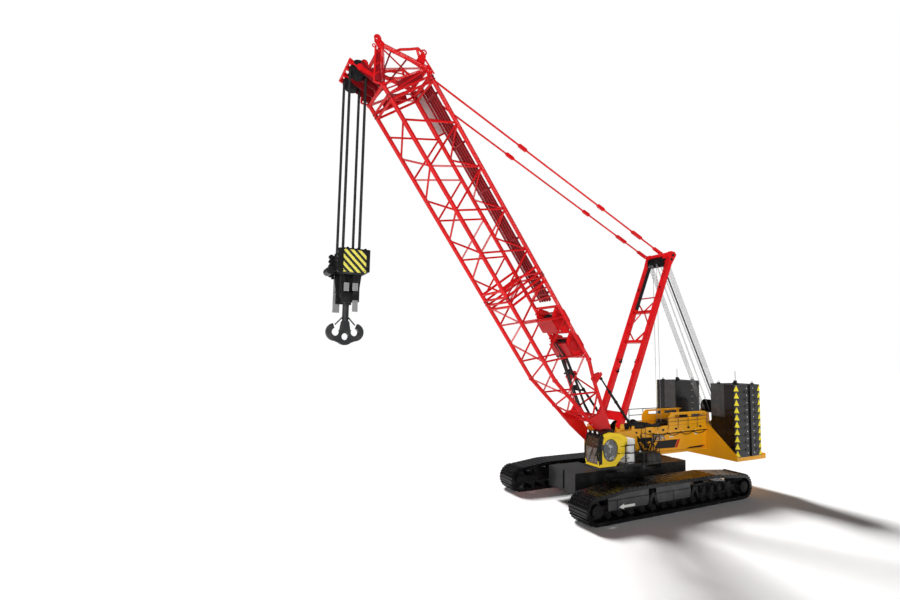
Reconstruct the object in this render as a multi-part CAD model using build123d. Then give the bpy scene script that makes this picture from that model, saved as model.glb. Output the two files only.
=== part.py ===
from build123d import *
import math
import os

# Crawler crane with a lattice boom, in millimetres.
# X points forward, Y to the crane's left, Z up; the origin is on the ground under the slewing axis.

# ---- fits
SEAT = 0.3                 # gap between pieces that rest on or carry each other
CLEAR = 8.0                # gap between pieces that move past each other

# ---- crawler tracks
TRACK_HALF_WIDTH = 4315.0  # outer face of the shoes
SHOE_WIDTH = 1480.0
IDLER_X = 5620.0
SPROCKET_X = -6200.0
END_RADIUS = 740.0         # over the shoes at both ends
CARRIER_X = 3400.0
CARRIER_RISE = 280.0       # how far the top run bulges above the end wheels
BELT_THICKNESS = 200.0
SHOES = 76
SHOE_NOTCH = 75.0          # depth of the gap between two shoes
SHOE_FILL = 0.86           # share of the pitch that a shoe covers
ROLLER_RADIUS = 170.0
ROLLERS = 13
CARRIER_RADIUS = 110.0
BEAM_WIDTH = 1000.0        # box beam of the track frame
FORK_THICKNESS = 150.0
FORK_LENGTH = 1000.0
HUB_RADIUS = 330.0

# ---- carbody
CARBODY_HALF_LENGTH = 2350.0
CARBODY_HALF_WIDTH = 1350.0
CARBODY_BOTTOM = 700.0
CARBODY_TOP = 1700.0
BALLAST_END = 4630.0
BALLAST_HALF_WIDTH = 1260.0
BALLAST_TOP = 1900.0
BALLAST_SLOT = 170.0       # upright slot in the end face of a ballast block
BALLAST_SLOT_Y = 200.0
AXLE_X = 1750.0
AXLE_LENGTH = 1150.0       # along the crane
AXLE_BOTTOM = 780.0
AXLE_TOP = 1450.0
RING_RADIUS = 1480.0
RING_BOTTOM = 1990.0
RING_TOP = 2440.0
RING_SPLIT = 2200.0

# ---- main frame of the superstructure
FRAME_FRONT = 1750.0
FRAME_REAR = -6900.0
FRAME_BOTTOM = 2440.0
FRAME_HALF_WIDTH = 1120.0  # outer face of the side webs
WEB = 70.0
FLOOR = 120.0
TOP_FRONT = 4130.0         # height of the top edge at SLOPE_START
TOP_REAR = 4270.0          # height of the top edge at the rear
SLOPE_START = 1200.0
RAIL_DEPTH = 450.0         # height of the thick rail along the top edge
RAIL_FRONT = 400.0
RAIL_HOLES = 6
RAIL_HOLE_STEP = 1200.0
RAIL_PROUD = 90.0
HOUSING_FRONT = -3190.0
HOUSING_SHOULDER = -3540.0
HOUSING_TOP = 5010.0
GUARD_THICKNESS = 60.0
GUARD_FLANGE = 260.0
GUARD_SLOTS = (-4450.0, -6050.0)
GUARD_SLOT_LENGTH = 1300.0
PLATE = 40.0               # common lug and bracket plate
ENGINE_FRONT = -4300.0
ENGINE_LENGTH = 2350.0

# ---- boom, drawn lying along X from its foot pin, then raised
FOOT_PIN_X = 1478.0
FOOT_PIN_Z = 3237.0
PIN_REACH = 1200.0         # from the foot pin up the boom to where its stations are counted from
BOOM_ANGLE = 54.2
CHORD_Y = 1210.0
CHORD_N = 1370.0           # distance of the chords from the boom's middle line
CHORD_RADIUS = 108.0
LACING_RADIUS = 45.0
END_TUBE_RADIUS = 55.0
BAR_SIDES = 10             # flat sides of a lattice tube
BAR_FLAT = math.cos(math.pi / BAR_SIDES)   # distance to a flat, as a share of the radius
FOOT_END = 10200.0
INSERT_END = 22200.0
NODE_START = 10550.0
NODE_STEP = 1300.0
FOOT_PLATE = 150.0
FOOT_PLATE_LENGTH = 1000.0
HEAD_CORNER = 22840.0
HEAD_TIP_S = 24560.0
HEAD_TIP_N = -290.0
SHEAVE_S = 24030.0
SHEAVE_N = -1880.0
SHEAVE_RADIUS = 420.0
ROPE_Y = 650.0             # middle of each group of hoist sheaves
SHEAVE_GROUP = 520.0
PIN_RADIUS = 70.0
JIB_PIN_RADIUS = 60.0
LUG_S = 22350.0            # pendant lug on the boom
LUG_N = 1660.0
BACKSTOP_S = 3070.0
BACKSTOP_N = 1450.0

# ---- mast, pendants and backstops
MAST_FOOT_X = 850.0
MAST_FOOT_Z = 4400.0
MAST_HEAD_X = -3860.0
MAST_HEAD_Z = 15450.0
MAST_Y = 930.0
MAST_LEG = 320.0
PENDANT_Y = 710.0
PENDANT_RADIUS = 55.0
PENDANT_SHORT = 650.0      # room at the mast head for the plates that join pendant and mast
PENDANT_TUBE_RADIUS = 90.0
BACKSTOP_X = 120.0
BACKSTOP_Z = 4300.0
BARREL_RADIUS = 80.0
ROD_RADIUS = 50.0
BARREL_LENGTH = 2950.0

# ---- hoist rope, hook block and hook
BLOCK_TOP = 13580.0
BLOCK_BOTTOM = 12500.0
BLOCK_FRONT = 18190.0
BLOCK_REAR = 16910.0
BLOCK_HALF_WIDTH = 990.0
CROSSHEAD_Z = 11500.0
ROPE_RADIUS = 28.0
SLEEVE_WALL = 10.0
ROPE_GUIDE = 120.0         # close-fitting length at the top of a sleeve
SHANK_RADIUS = 155.0
HOOK_THICKNESS = 300.0
HORN_Z = 9620.0
HORN_OFFSET = 450.0
HORN_RADIUS = 440.0
HORN_THROAT = 190.0
HOOK_EYE_Z = 9400.0
HOOK_EYE_RADIUS = 170.0

# ---- cab, platform and what stands on it
CAB_INNER = 1420.0
CAB_OUTER = 2600.0
CAB_WALL = 60.0
CAB_FLOOR = 2450.0
PLATFORM_FRONT = 3960.0
PLATFORM_REAR = -840.0
PLATFORM_OUTER = 2640.0
PLATFORM_BOTTOM = 2300.0
RAIL_TUBE = 22.0
GLASS = 12.0
DOOR_REAR = 2440.0
DOOR_FRONT = 3760.0
DOOR_BOTTOM = 2650.0
DOOR_TOP = 4040.0
HINGE_X = DOOR_REAR - CLEAR / 2
HINGE_Y = CAB_OUTER + 22.0
HINGE_HEIGHTS = (3290.0, 3890.0)
HINGE_PIN = 12.0
HINGE_SLEEVE = 20.0

# ---- counterweight
TRAY_BOTTOM = 2000.0
TRAY_TOP = 2250.0
TRAY_REAR = -9920.0
TRAY_HALF_WIDTH = 3400.0
GUSSET = 120.0
STACK_INNER = 1475.0
STACK_REAR = -9630.0
STACK_TOP = 6940.0
SLABS = 10
SLAB_GROOVE = 30.0
SLAB_CORNER = 170.0
GANTRY_SHEAVE_X = -9000.0
GANTRY_SHEAVE_Z = 5170.0
GANTRY_SHEAVE_RADIUS = 470.0
GANTRY_HALF_WIDTH = 560.0

BOOM_X = FOOT_PIN_X + PIN_REACH * math.cos(math.radians(BOOM_ANGLE))
BOOM_Z = FOOT_PIN_Z + PIN_REACH * math.sin(math.radians(BOOM_ANGLE))
BOOM = Location((BOOM_X, 0, BOOM_Z), (0, -BOOM_ANGLE, 0))


# ---- small makers, shared by the pieces
def block(x0, x1, y0, y1, z0, z1):
    """Box between two corners."""
    return Pos((x0 + x1) / 2, (y0 + y1) / 2, (z0 + z1) / 2) * Box(abs(x1 - x0), abs(y1 - y0), abs(z1 - z0))


def plate(outline, y0, y1):
    """Flat plate with an (x, z) outline, from y0 to y1."""
    edge = Polyline(*[(x, y0, z) for x, z in outline], close=True)
    return extrude(make_face(edge), amount=y1 - y0, dir=(0, 1, 0))


def tube_between(a, b, radius):
    """Round bar from point a to point b."""
    a, b = Vector(*a), Vector(*b)
    return Part() + Solid.make_cylinder(radius, (b - a).length, Plane(origin=a, z_dir=b - a))


def bar(a, b, radius):
    """Lattice tube from point a to point b, drawn with flat sides so that many can be joined into one solid."""
    a, b = Vector(*a), Vector(*b)
    return extrude(Plane(origin=a, z_dir=b - a) * RegularPolygon(radius, BAR_SIDES), amount=(b - a).length, dir=(b - a).normalized())


def pin(x, z, y0, y1, radius):
    """Round bar along Y."""
    return tube_between((x, y0, z), (x, y1, z), radius)


def boss(x, z, radius, y0, y1, hole):
    """Round eye along Y with its hole."""
    return pin(x, z, y0, y1, radius) - pin(x, z, y0 - 1, y1 + 1, hole)


def fuse(pieces):
    """One shape from many, joined in one step."""
    pieces = list(pieces)
    return pieces[0] + pieces[1:]


def save(shape, node):
    """Write one sub-part."""
    os.makedirs("parts", exist_ok=True)
    shape.label = node
    export_step(shape, f"parts/{node}.step")


# ---- tracks: a fixed loop of shoes round the end wheels and the top rollers
# each disc: x, z, radius over the shoes
BELT_DISCS = [
    (IDLER_X, END_RADIUS, END_RADIUS),
    (SPROCKET_X, END_RADIUS, END_RADIUS),
    (CARRIER_X, END_RADIUS + CARRIER_RISE, END_RADIUS - 40),
    (-CARRIER_X, END_RADIUS + CARRIER_RISE, END_RADIUS - 40),
]
TOP_RUN = END_RADIUS + CARRIER_RISE + END_RADIUS - 40


def belt_path():
    """Outer line of the belt as (distance, x, z, normal x, normal z) rows."""
    rows = []
    travelled = 0.0
    for i in range(1441):
        a = math.radians(i / 4)
        c, s = math.cos(a), math.sin(a)
        x, z, r = max(BELT_DISCS, key=lambda disc: disc[0] * c + disc[1] * s + disc[2])
        point = (x + r * c, z + r * s)
        if rows:
            travelled += math.dist(point, rows[-1][1:3])
        rows.append((travelled, *point, c, s))
    return rows


def belt_point(rows, distance, inset):
    """Point of the belt at a distance along it, inset from the outer line."""
    distance %= rows[-1][0]
    after = next(i for i, row in enumerate(rows) if row[0] >= distance and i > 0)
    a, b = rows[after - 1], rows[after]
    t = (distance - a[0]) / (b[0] - a[0])
    x, z, nx, nz = (a[k] + t * (b[k] - a[k]) for k in range(1, 5))
    size = math.hypot(nx, nz)
    return x - inset * nx / size, z - inset * nz / size


def track():
    rows = belt_path()
    pitch = rows[-1][0] / SHOES
    half = SHOE_FILL * pitch / 2
    outer, inner = [], []
    for i in range(SHOES):
        middle = i * pitch
        outer += [
            belt_point(rows, middle - half, SHOE_NOTCH),
            belt_point(rows, middle - half, 0),
            belt_point(rows, middle + half, 0),
            belt_point(rows, middle + half, SHOE_NOTCH),
        ]
        inner += [belt_point(rows, middle + k * pitch / 4, BELT_THICKNESS) for k in (-1, 1)]
    y0, y1 = TRACK_HALF_WIDTH - SHOE_WIDTH, TRACK_HALF_WIDTH
    return plate(outer, y0, y1) - plate(inner, y0 - 1, y1 + 1)


TRACK_MIDDLE = TRACK_HALF_WIDTH - SHOE_WIDTH / 2
BEAM_INNER = TRACK_MIDDLE - BEAM_WIDTH / 2
BEAM_OUTER = TRACK_MIDDLE + BEAM_WIDTH / 2
BEAM_BOTTOM = BELT_THICKNESS + 2 * ROLLER_RADIUS + 3 * SEAT
BEAM_TOP = TOP_RUN - BELT_THICKNESS - 2 * CARRIER_RADIUS - 3 * SEAT
WHEEL_RADIUS = END_RADIUS - BELT_THICKNESS - 2 * CLEAR


def track_frame():
    front = IDLER_X - FORK_LENGTH
    rear = SPROCKET_X + FORK_LENGTH
    parts = [plate(
        [(rear, BEAM_BOTTOM), (front, BEAM_BOTTOM), (front, 1120), (CARRIER_X + 300, BEAM_TOP),
         (-CARRIER_X - 300, BEAM_TOP), (rear, 1120)], BEAM_INNER, BEAM_OUTER)]
    for x, sign in ((IDLER_X, 1), (SPROCKET_X, -1)):
        start = x - sign * (FORK_LENGTH + 200)
        for y0, y1 in ((BEAM_INNER, BEAM_INNER + FORK_THICKNESS), (BEAM_OUTER - FORK_THICKNESS, BEAM_OUTER)):
            parts.append(block(start, x, y0, y1, END_RADIUS - 190, END_RADIUS + 190))
            parts.append(pin(x, END_RADIUS, y0, y1, 260))
        parts.append(pin(x, END_RADIUS, BEAM_OUTER - 1, TRACK_HALF_WIDTH - 40, HUB_RADIUS))
        parts.append(pin(x, END_RADIUS, BEAM_INNER + 1, BEAM_OUTER - 1, PIN_RADIUS))
    # side panels with two inverted-V brackets and a drive cover towards the rear
    skin = BEAM_OUTER + 110
    for x0, x1 in ((-1500, 1350), (1850, 4850)):
        parts.append(block(x0, x1, BEAM_OUTER - 1, skin, 620, 1180))
    for x in (1600, -1750):
        parts.append(plate([(x - 420, 560), (x - 230, 560), (x, 1060), (x + 230, 560), (x + 420, 560),
                            (x + 120, 1260), (x - 120, 1260)], BEAM_OUTER - 1, skin + 60))
    for x in (-2550, -3250, -3950, -4650):
        parts.append(block(x - 230, x + 230, BEAM_OUTER - 1, skin - 30, 640, 1130))
    return fuse(parts)


def track_wheels():
    wheels = []
    inner, outer = BEAM_INNER + FORK_THICKNESS + CLEAR, BEAM_OUTER - FORK_THICKNESS - CLEAR
    for x in (IDLER_X, SPROCKET_X):
        wheels.append(boss(x, END_RADIUS, WHEEL_RADIUS, inner, outer, PIN_RADIUS + SEAT))
    first, last = SPROCKET_X + 1000, IDLER_X - 1000
    for i in range(ROLLERS):
        x = first + (last - first) * i / (ROLLERS - 1)
        wheels.append(pin(x, BELT_THICKNESS + SEAT + ROLLER_RADIUS, BEAM_INNER + 100, BEAM_OUTER - 100, ROLLER_RADIUS))
    for x in (500 - CARRIER_X, 0, CARRIER_X - 500):
        wheels.append(pin(x, BEAM_TOP + SEAT + CARRIER_RADIUS, BEAM_INNER + 200, BEAM_OUTER - 200, CARRIER_RADIUS))
    return wheels


# ---- carbody: centre box, two cross axles and a slewing pedestal
def carbody():
    parts = [
        block(-CARBODY_HALF_LENGTH, CARBODY_HALF_LENGTH, -CARBODY_HALF_WIDTH, CARBODY_HALF_WIDTH, CARBODY_BOTTOM, CARBODY_TOP),
        Pos(0, 0, (CARBODY_TOP + RING_BOTTOM) / 2) * Cylinder(RING_RADIUS + 120, RING_BOTTOM - CARBODY_TOP),
    ]
    for x in (-AXLE_X, AXLE_X):
        reach = BEAM_INNER - SEAT
        parts.append(block(x - AXLE_LENGTH / 2, x + AXLE_LENGTH / 2, -reach, reach, AXLE_BOTTOM, AXLE_TOP))
        for side in (-1, 1):
            parts.append(block(x - AXLE_LENGTH / 2 - 120, x + AXLE_LENGTH / 2 + 120, side * (reach - 260), side * reach,
                               AXLE_BOTTOM - 60, AXLE_TOP + 60))
    return fuse(parts)


def ballast():
    """Front ballast block with a slot in its end face."""
    start = CARBODY_HALF_LENGTH + SEAT
    shape = block(start, BALLAST_END, -BALLAST_HALF_WIDTH, BALLAST_HALF_WIDTH, CARBODY_BOTTOM, BALLAST_TOP)
    shape -= block(BALLAST_END - 130, BALLAST_END + 1, BALLAST_SLOT_Y - BALLAST_SLOT / 2, BALLAST_SLOT_Y + BALLAST_SLOT / 2,
                   CARBODY_BOTTOM + 150, BALLAST_TOP + 1)
    return shape


def slew_ring(bottom, top):
    return Pos(0, 0, (bottom + top) / 2) * (Cylinder(RING_RADIUS, top - bottom) - Cylinder(RING_RADIUS - 330, top - bottom + 2))


# ---- main frame: two webs, a floor, thick top rails and lugs for the boom and mast feet
def top_edge(x):
    """Height of the frame's sloping top edge."""
    slope = (TOP_REAR - TOP_FRONT) / (SLOPE_START - FRAME_REAR)
    return TOP_FRONT + max(0.0, SLOPE_START - x) * slope


BOOM_LUG_INNER = CHORD_Y - FOOT_PLATE / 2 - CLEAR
BOOM_LUG_OUTER = CHORD_Y + FOOT_PLATE / 2 + CLEAR
WEB_INNER = FRAME_HALF_WIDTH - WEB


def main_frame():
    top = top_edge(RAIL_FRONT)
    lug_inner, lug_outer = BOOM_LUG_OUTER, BOOM_LUG_OUTER + PLATE * 2
    side = [
        plate([(FRAME_REAR, FRAME_BOTTOM), (FRAME_FRONT, FRAME_BOTTOM), (FRAME_FRONT, 3350), (FRAME_FRONT - 250, 3600),
               (SLOPE_START - 50, top_edge(SLOPE_START)), (FRAME_REAR, top_edge(FRAME_REAR))], WEB_INNER, FRAME_HALF_WIDTH),
        plate([(RAIL_FRONT, top - RAIL_DEPTH), (RAIL_FRONT, top), (FRAME_REAR, TOP_REAR), (FRAME_REAR, TOP_REAR - RAIL_DEPTH)],
              FRAME_HALF_WIDTH - 1, FRAME_HALF_WIDTH + RAIL_PROUD),
        block(FRAME_REAR, FRAME_FRONT, FRAME_HALF_WIDTH - 1, FRAME_HALF_WIDTH + RAIL_PROUD, FRAME_BOTTOM, FRAME_BOTTOM + 160),
        # outer plate beside the boom foot, with a lug on its top edge, and the blocks that carry it
        plate([(RAIL_FRONT - 100, 2600), (FRAME_FRONT, 2600), (FRAME_FRONT, 3700), (FRAME_FRONT - 150, 4080), (RAIL_FRONT - 100, 4140)],
              lug_inner, lug_outer),
        boss(FRAME_FRONT - 350, 4150, 120, lug_inner, lug_outer, 55),
        block(RAIL_FRONT - 100, FRAME_FRONT, FRAME_HALF_WIDTH - 1, lug_inner + 1, 2600, 2850),
        block(RAIL_FRONT - 100, RAIL_FRONT + 400, FRAME_HALF_WIDTH - 1, lug_inner + 1, 2700, 4080),
        pin(FOOT_PIN_X, FOOT_PIN_Z, WEB_INNER + 1, lug_outer - 1, PIN_RADIUS),
    ]
    # clevis for the mast foot
    base = top_edge(MAST_FOOT_X)
    for y in (MAST_Y - MAST_LEG / 2 - CLEAR - PLATE, MAST_Y + MAST_LEG / 2 + CLEAR):
        side.append(plate([(MAST_FOOT_X - 260, base - 250), (MAST_FOOT_X + 260, base - 250), (MAST_FOOT_X + 130, MAST_FOOT_Z + 110),
                           (MAST_FOOT_X - 130, MAST_FOOT_Z + 110)], y, y + PLATE))
    side.append(pin(MAST_FOOT_X, MAST_FOOT_Z, MAST_Y - MAST_LEG / 2 - 40, MAST_Y + MAST_LEG / 2 + 30, PIN_RADIUS))
    side.append(block(MAST_FOOT_X - 260, MAST_FOOT_X + 260, MAST_Y - MAST_LEG / 2 - CLEAR - PLATE, FRAME_HALF_WIDTH,
                      base - 300, base - 120))
    # lug for the backstop
    base = top_edge(BACKSTOP_X)
    for y in (CHORD_Y - 60 - CLEAR - PLATE, CHORD_Y + 60 + CLEAR):
        side.append(plate([(BACKSTOP_X - 200, base - 200), (BACKSTOP_X + 200, base - 200), (BACKSTOP_X + 80, BACKSTOP_Z + 80),
                           (BACKSTOP_X - 80, BACKSTOP_Z + 80)], y, y + PLATE))
    side.append(block(BACKSTOP_X - 200, BACKSTOP_X + 200, FRAME_HALF_WIDTH - 1, CHORD_Y + 60 + CLEAR + PLATE, base - 300, base - 20))
    side.append(pin(BACKSTOP_X, BACKSTOP_Z, CHORD_Y - 100, CHORD_Y + 100, 40))
    left = fuse(side)
    # round holes in the top rail, then ribs between them
    for i in range(RAIL_HOLES):
        x = BACKSTOP_X - 350 - RAIL_HOLE_STEP * i
        left -= pin(x, top_edge(x) - RAIL_DEPTH / 2, WEB_INNER - 1, FRAME_HALF_WIDTH + RAIL_PROUD + 1, 75)
        left += block(x - 450, x - 420, FRAME_HALF_WIDTH - 1, FRAME_HALF_WIDTH + RAIL_PROUD + 25,
                      top_edge(x) - RAIL_DEPTH + 20, top_edge(x) - 20)
    floor = block(FRAME_REAR, FRAME_FRONT, -WEB_INNER - 1, WEB_INNER + 1, FRAME_BOTTOM, FRAME_BOTTOM + FLOOR)
    front = block(FRAME_FRONT - 60, FRAME_FRONT, -WEB_INNER - 1, WEB_INNER + 1, FRAME_BOTTOM, 3300)
    rear = block(FRAME_REAR, FRAME_REAR + 60, -WEB_INNER - 1, WEB_INNER + 1, FRAME_BOTTOM, TOP_REAR - 20)
    return fuse([left, mirror(left, Plane.XZ), floor, front, rear])


def rear_housing():
    """Raised guards along both sides of the frame behind the winches, with long slots and a flange along the top."""
    outer = FRAME_HALF_WIDTH + 40
    y0 = outer - GUARD_THICKNESS
    guard = plate([(HOUSING_FRONT, top_edge(HOUSING_FRONT) + SEAT), (HOUSING_FRONT, HOUSING_TOP - 320), (HOUSING_SHOULDER, HOUSING_TOP),
                   (FRAME_REAR, HOUSING_TOP), (FRAME_REAR, TOP_REAR + SEAT)], y0, outer)
    for x in GUARD_SLOTS:
        guard -= block(x - GUARD_SLOT_LENGTH / 2, x + GUARD_SLOT_LENGTH / 2, y0 - 1, outer + 1, HOUSING_TOP - 350, HOUSING_TOP - 130)
    guard += block(HOUSING_SHOULDER - 20, FRAME_REAR, outer - GUARD_FLANGE, outer, HOUSING_TOP - 40, HOUSING_TOP)
    return [guard, mirror(guard, Plane.XZ)]


def winch_drum(x, z, half_length, radius, flange):
    """Drum with flanges, lying across the crane."""
    drum = pin(x, z, -half_length + 40, half_length - 40, radius)
    return fuse([drum] + [pin(x, z, s * half_length, s * (half_length - 40), flange) for s in (-1, 1)])


# each winch in the frame: x, height of its axis, drum radius, flange radius
FRAME_WINCHES = [(-700, 3900, 400, 520), (-2200, 3900, 400, 520), (1050, 3250, 300, 400)]


# ---- cab: hollow shell with cut windows, a hinged door in its left side
CAB_OUTLINE = [(3960, CAB_FLOOR), (4080, 2900), (4060, 3500), (3900, 4050), (3700, 4260), (3300, 4350),
               (2500, 4260), (1900, 3990), (1880, 3500), (2150, 3000), (2800, CAB_FLOOR)]


FRONT_EDGES = range(4)     # edges of the outline that carry the windscreen
REAR_EDGE = 7
PILLAR = 110.0
WINDSCREEN_X = 3740.0
WINDSCREEN_BOTTOM = 2600.0
WINDSCREEN_TOP = 4200.0
REAR_WINDOW = (3560.0, 3900.0)

DOOR_OUTLINE = [(DOOR_REAR, 3130), (2720, DOOR_BOTTOM), (3560, DOOR_BOTTOM), (DOOR_FRONT, 2950), (DOOR_FRONT, 3650),
                (3560, DOOR_TOP), (DOOR_REAR, DOOR_TOP)]
WINDOW_X, WINDOW_Z = 3170.0, 3350.0
WINDOW_HALF_LENGTH, WINDOW_HALF_HEIGHT = 530.0, 600.0
WINDOW_CORNERS = 20
SIDE_WINDOW = [(WINDOW_X + WINDOW_HALF_LENGTH * math.cos(2 * math.pi * i / WINDOW_CORNERS),
                WINDOW_Z + WINDOW_HALF_HEIGHT * math.sin(2 * math.pi * i / WINDOW_CORNERS)) for i in range(WINDOW_CORNERS)]


def cab_outline(amount):
    """Corner points of the cab's side outline, moved inwards by an amount."""
    def moved(a, b):
        size = math.dist(a, b)
        nx, nz = (a[1] - b[1]) / size * amount, (b[0] - a[0]) / size * amount
        return (a[0] + nx, a[1] + nz), (b[0] + nx, b[1] + nz)

    points = []
    for i, point in enumerate(CAB_OUTLINE):
        (ax, az), (bx, bz) = moved(CAB_OUTLINE[i - 1], point)
        (cx, cz), (dx, dz) = moved(point, CAB_OUTLINE[(i + 1) % len(CAB_OUTLINE)])
        ux, uz, vx, vz = bx - ax, bz - az, dx - cx, dz - cz
        t = ((cx - ax) * vz - (cz - az) * vx) / (ux * vz - uz * vx)
        points.append((ax + t * ux, az + t * uz))
    return points


def cab_walls(outer, inner, y0, y1, edges, gap=SEAT):
    """Flat wall behind each named edge of the outline, between two depths, a hair apart at the corners."""
    far, near = cab_outline(outer), cab_outline(inner)
    walls = []
    for i in edges:
        j = (i + 1) % len(CAB_OUTLINE)
        ux, uz = (near[j][0] - near[i][0]), (near[j][1] - near[i][1])
        size = math.hypot(ux, uz)
        ux, uz = ux / size * gap, uz / size * gap
        walls.append(plate([(far[i][0] + ux, far[i][1] + uz), (far[j][0] - ux, far[j][1] - uz),
                            (near[j][0] - ux, near[j][1] - uz), (near[i][0] + ux, near[i][1] + uz)], y0, y1))
    return walls


def grown(outline, amount, y0, y1):
    """Flat plate whose outline is grown on all sides by an amount."""
    face = make_face(Polyline(*[(x, 0, z) for x, z in outline], close=True))
    return Pos(0, y0, 0) * extrude(offset(face, amount=amount, kind=Kind.INTERSECTION), amount=y1 - y0, dir=(0, 1, 0))


def cab_shell():
    """Cab of welded panels: two side plates, and between them the floor, rear wall, roof and front frame."""
    inner, outer = CAB_INNER + CAB_WALL + SEAT, CAB_OUTER - CAB_WALL - SEAT
    right = plate(CAB_OUTLINE, CAB_INNER, CAB_INNER + CAB_WALL) - plate(SIDE_WINDOW, CAB_INNER - 1, CAB_INNER + CAB_WALL + 1)
    left = plate(CAB_OUTLINE, CAB_OUTER - CAB_WALL, CAB_OUTER)
    left -= grown(DOOR_OUTLINE, CLEAR, CAB_OUTER - CAB_WALL - 1, CAB_OUTER + 1)
    # hinge ears and pins behind the door
    for z in HINGE_HEIGHTS:
        for z0, z1 in ((z - 55, z - 40), (z + 40, z + 55)):
            left += block(HINGE_X - 70, HINGE_X + HINGE_PIN, CAB_OUTER - 20, HINGE_Y + HINGE_PIN, z0, z1) - block(
                DOOR_REAR - CLEAR, HINGE_X + 50, CAB_OUTER - 70, CAB_OUTER + 9, z0 - 1, z1 + 1)
        left += tube_between((HINGE_X, HINGE_Y, z - 41), (HINGE_X, HINGE_Y, z + 41), HINGE_PIN)
    panels = [right, left]
    windscreen = block(WINDSCREEN_X, 4200, CAB_INNER + PILLAR, CAB_OUTER - PILLAR, WINDSCREEN_BOTTOM, WINDSCREEN_TOP)
    rear_window = block(1800, 2000, CAB_INNER + 200, CAB_OUTER - 200, *REAR_WINDOW)
    for wall in cab_walls(0, CAB_WALL, inner, outer, range(len(CAB_OUTLINE))):
        panels += (wall - windscreen - rear_window).solids()
    return panels


def cab_glass():
    """Windscreen of flat panes, far side panes and rear pane, standing in their openings."""
    opening = block(WINDSCREEN_X + SEAT, 4200, CAB_INNER, CAB_OUTER, WINDSCREEN_BOTTOM + SEAT, WINDSCREEN_TOP - SEAT)
    rear = block(1800, 2000, CAB_INNER, CAB_OUTER, REAR_WINDOW[0] + SEAT, REAR_WINDOW[1] - SEAT)
    panes = []
    for wall in cab_walls(15, 15 + GLASS, CAB_INNER + PILLAR + SEAT, CAB_OUTER - PILLAR - SEAT, FRONT_EDGES):
        panes += (wall & opening).solids()
    for wall in cab_walls(15, 15 + GLASS, CAB_INNER + 200 + SEAT, CAB_OUTER - 200 - SEAT, [REAR_EDGE]):
        panes += (wall & rear).solids()
    return panes + [pane(SIDE_WINDOW, CAB_INNER + 20)]


def pane(outline, y):
    """Flat pane a hair smaller than its opening."""
    return grown(outline, -SEAT, y, y + GLASS)


def cab_door():
    door = plate(DOOR_OUTLINE, CAB_OUTER - CAB_WALL, CAB_OUTER)
    for z in HINGE_HEIGHTS:
        door += block(HINGE_X, HINGE_X + 120, CAB_OUTER - 1, HINGE_Y + 8, z - 30, z + 30)
        door += tube_between((HINGE_X, HINGE_Y, z - 30), (HINGE_X, HINGE_Y, z + 30), HINGE_SLEEVE)
        door -= tube_between((HINGE_X, HINGE_Y, z - 31), (HINGE_X, HINGE_Y, z + 31), HINGE_PIN + 0.08)
    return door - plate(SIDE_WINDOW, CAB_OUTER - CAB_WALL - 1, CAB_OUTER + 1)


def door_glass():
    return pane(SIDE_WINDOW, CAB_OUTER - 20 - GLASS)


def cab_seat():
    middle = (CAB_INNER + CAB_OUTER) / 2
    floor = CAB_FLOOR + CAB_WALL + SEAT
    return fuse([
        block(2900, 3150, middle - 120, middle + 120, floor, 2900),
        block(2700, 3250, middle - 260, middle + 260, 2899, 3040),
        plate([(2700, 3039), (2840, 3039), (2640, 3800), (2520, 3800)], middle - 250, middle + 250),
        block(2800, 3330, middle + 261, middle + 340, 3039, 3180),
        block(2800, 3330, middle - 340, middle - 261, 3039, 3180),
        block(2750, 3200, middle - 340, middle + 340, 3000, 3041),
    ])


# ---- platform, cabinet, railings and ladder
def platform():
    deck = block(PLATFORM_REAR, PLATFORM_FRONT, FRAME_HALF_WIDTH + RAIL_PROUD + SEAT, PLATFORM_OUTER, PLATFORM_BOTTOM, CAB_FLOOR - SEAT)
    deck -= Pos(0, 0, CAB_FLOOR) * Cylinder(RING_RADIUS + 20, 400)
    step = block(PLATFORM_REAR, 250, 1500, PLATFORM_OUTER - 60, CAB_FLOOR - 1, 2900)
    return deck + step


CABINET_X = (1150.0, 1690.0)
CABINET_Y = (1750.0, 2450.0)
CABINET_TOP = 3860.0
SIDE_WALK_TOP = 4160.0


# handrails of each side: the outer line y, bars as (x0, x1, z) and posts as (x, top)
NEAR_RAIL = (PLATFORM_OUTER + 50, [(1380, 2150, 3560), (1380, 2150, 3100), (1380, 2150, 2570), (-70, 1380, 3070)],
             [(2120, 3560), (1400, 3560), (660, 3070), (-50, 3070)])
FAR_RAIL = (-1750, [(-6650, -2570, 4990), (-6650, -2570, 4570)], [(-6630, 4990), (-5280, 4990), (-3940, 4990), (-2590, 4990)])


def railing(rail, foot):
    """Handrail of round tubes."""
    y, bars, posts = rail
    tubes = [tube_between((x0, y, z), (x1, y, z), RAIL_TUBE) for x0, x1, z in bars]
    return tubes + [tube_between((x, y, foot), (x, y, top), RAIL_TUBE) for x, top in posts]


def railings():
    near = railing(NEAR_RAIL, PLATFORM_BOTTOM + 40)
    near += [block(x - 30, x + 30, PLATFORM_OUTER + SEAT, NEAR_RAIL[0], PLATFORM_BOTTOM + 30, CAB_FLOOR - 30) for x, top in NEAR_RAIL[2]]
    return [fuse(near), fuse(railing(FAR_RAIL, SIDE_WALK_TOP + SEAT))]


def side_walk():
    """Narrow walkway along the right side of the frame."""
    inner = -(FRAME_HALF_WIDTH + RAIL_PROUD + 25 + SEAT)
    parts = [block(-6700, -2500, -1800, inner - 60, SIDE_WALK_TOP - 60, SIDE_WALK_TOP)]
    for x in (-6450, -5200, -3900, -2750):
        parts.append(block(x - 40, x + 40, -1750, -(FRAME_HALF_WIDTH + RAIL_PROUD + SEAT), SIDE_WALK_TOP - 160, SIDE_WALK_TOP - 59))
    return fuse(parts)


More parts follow.
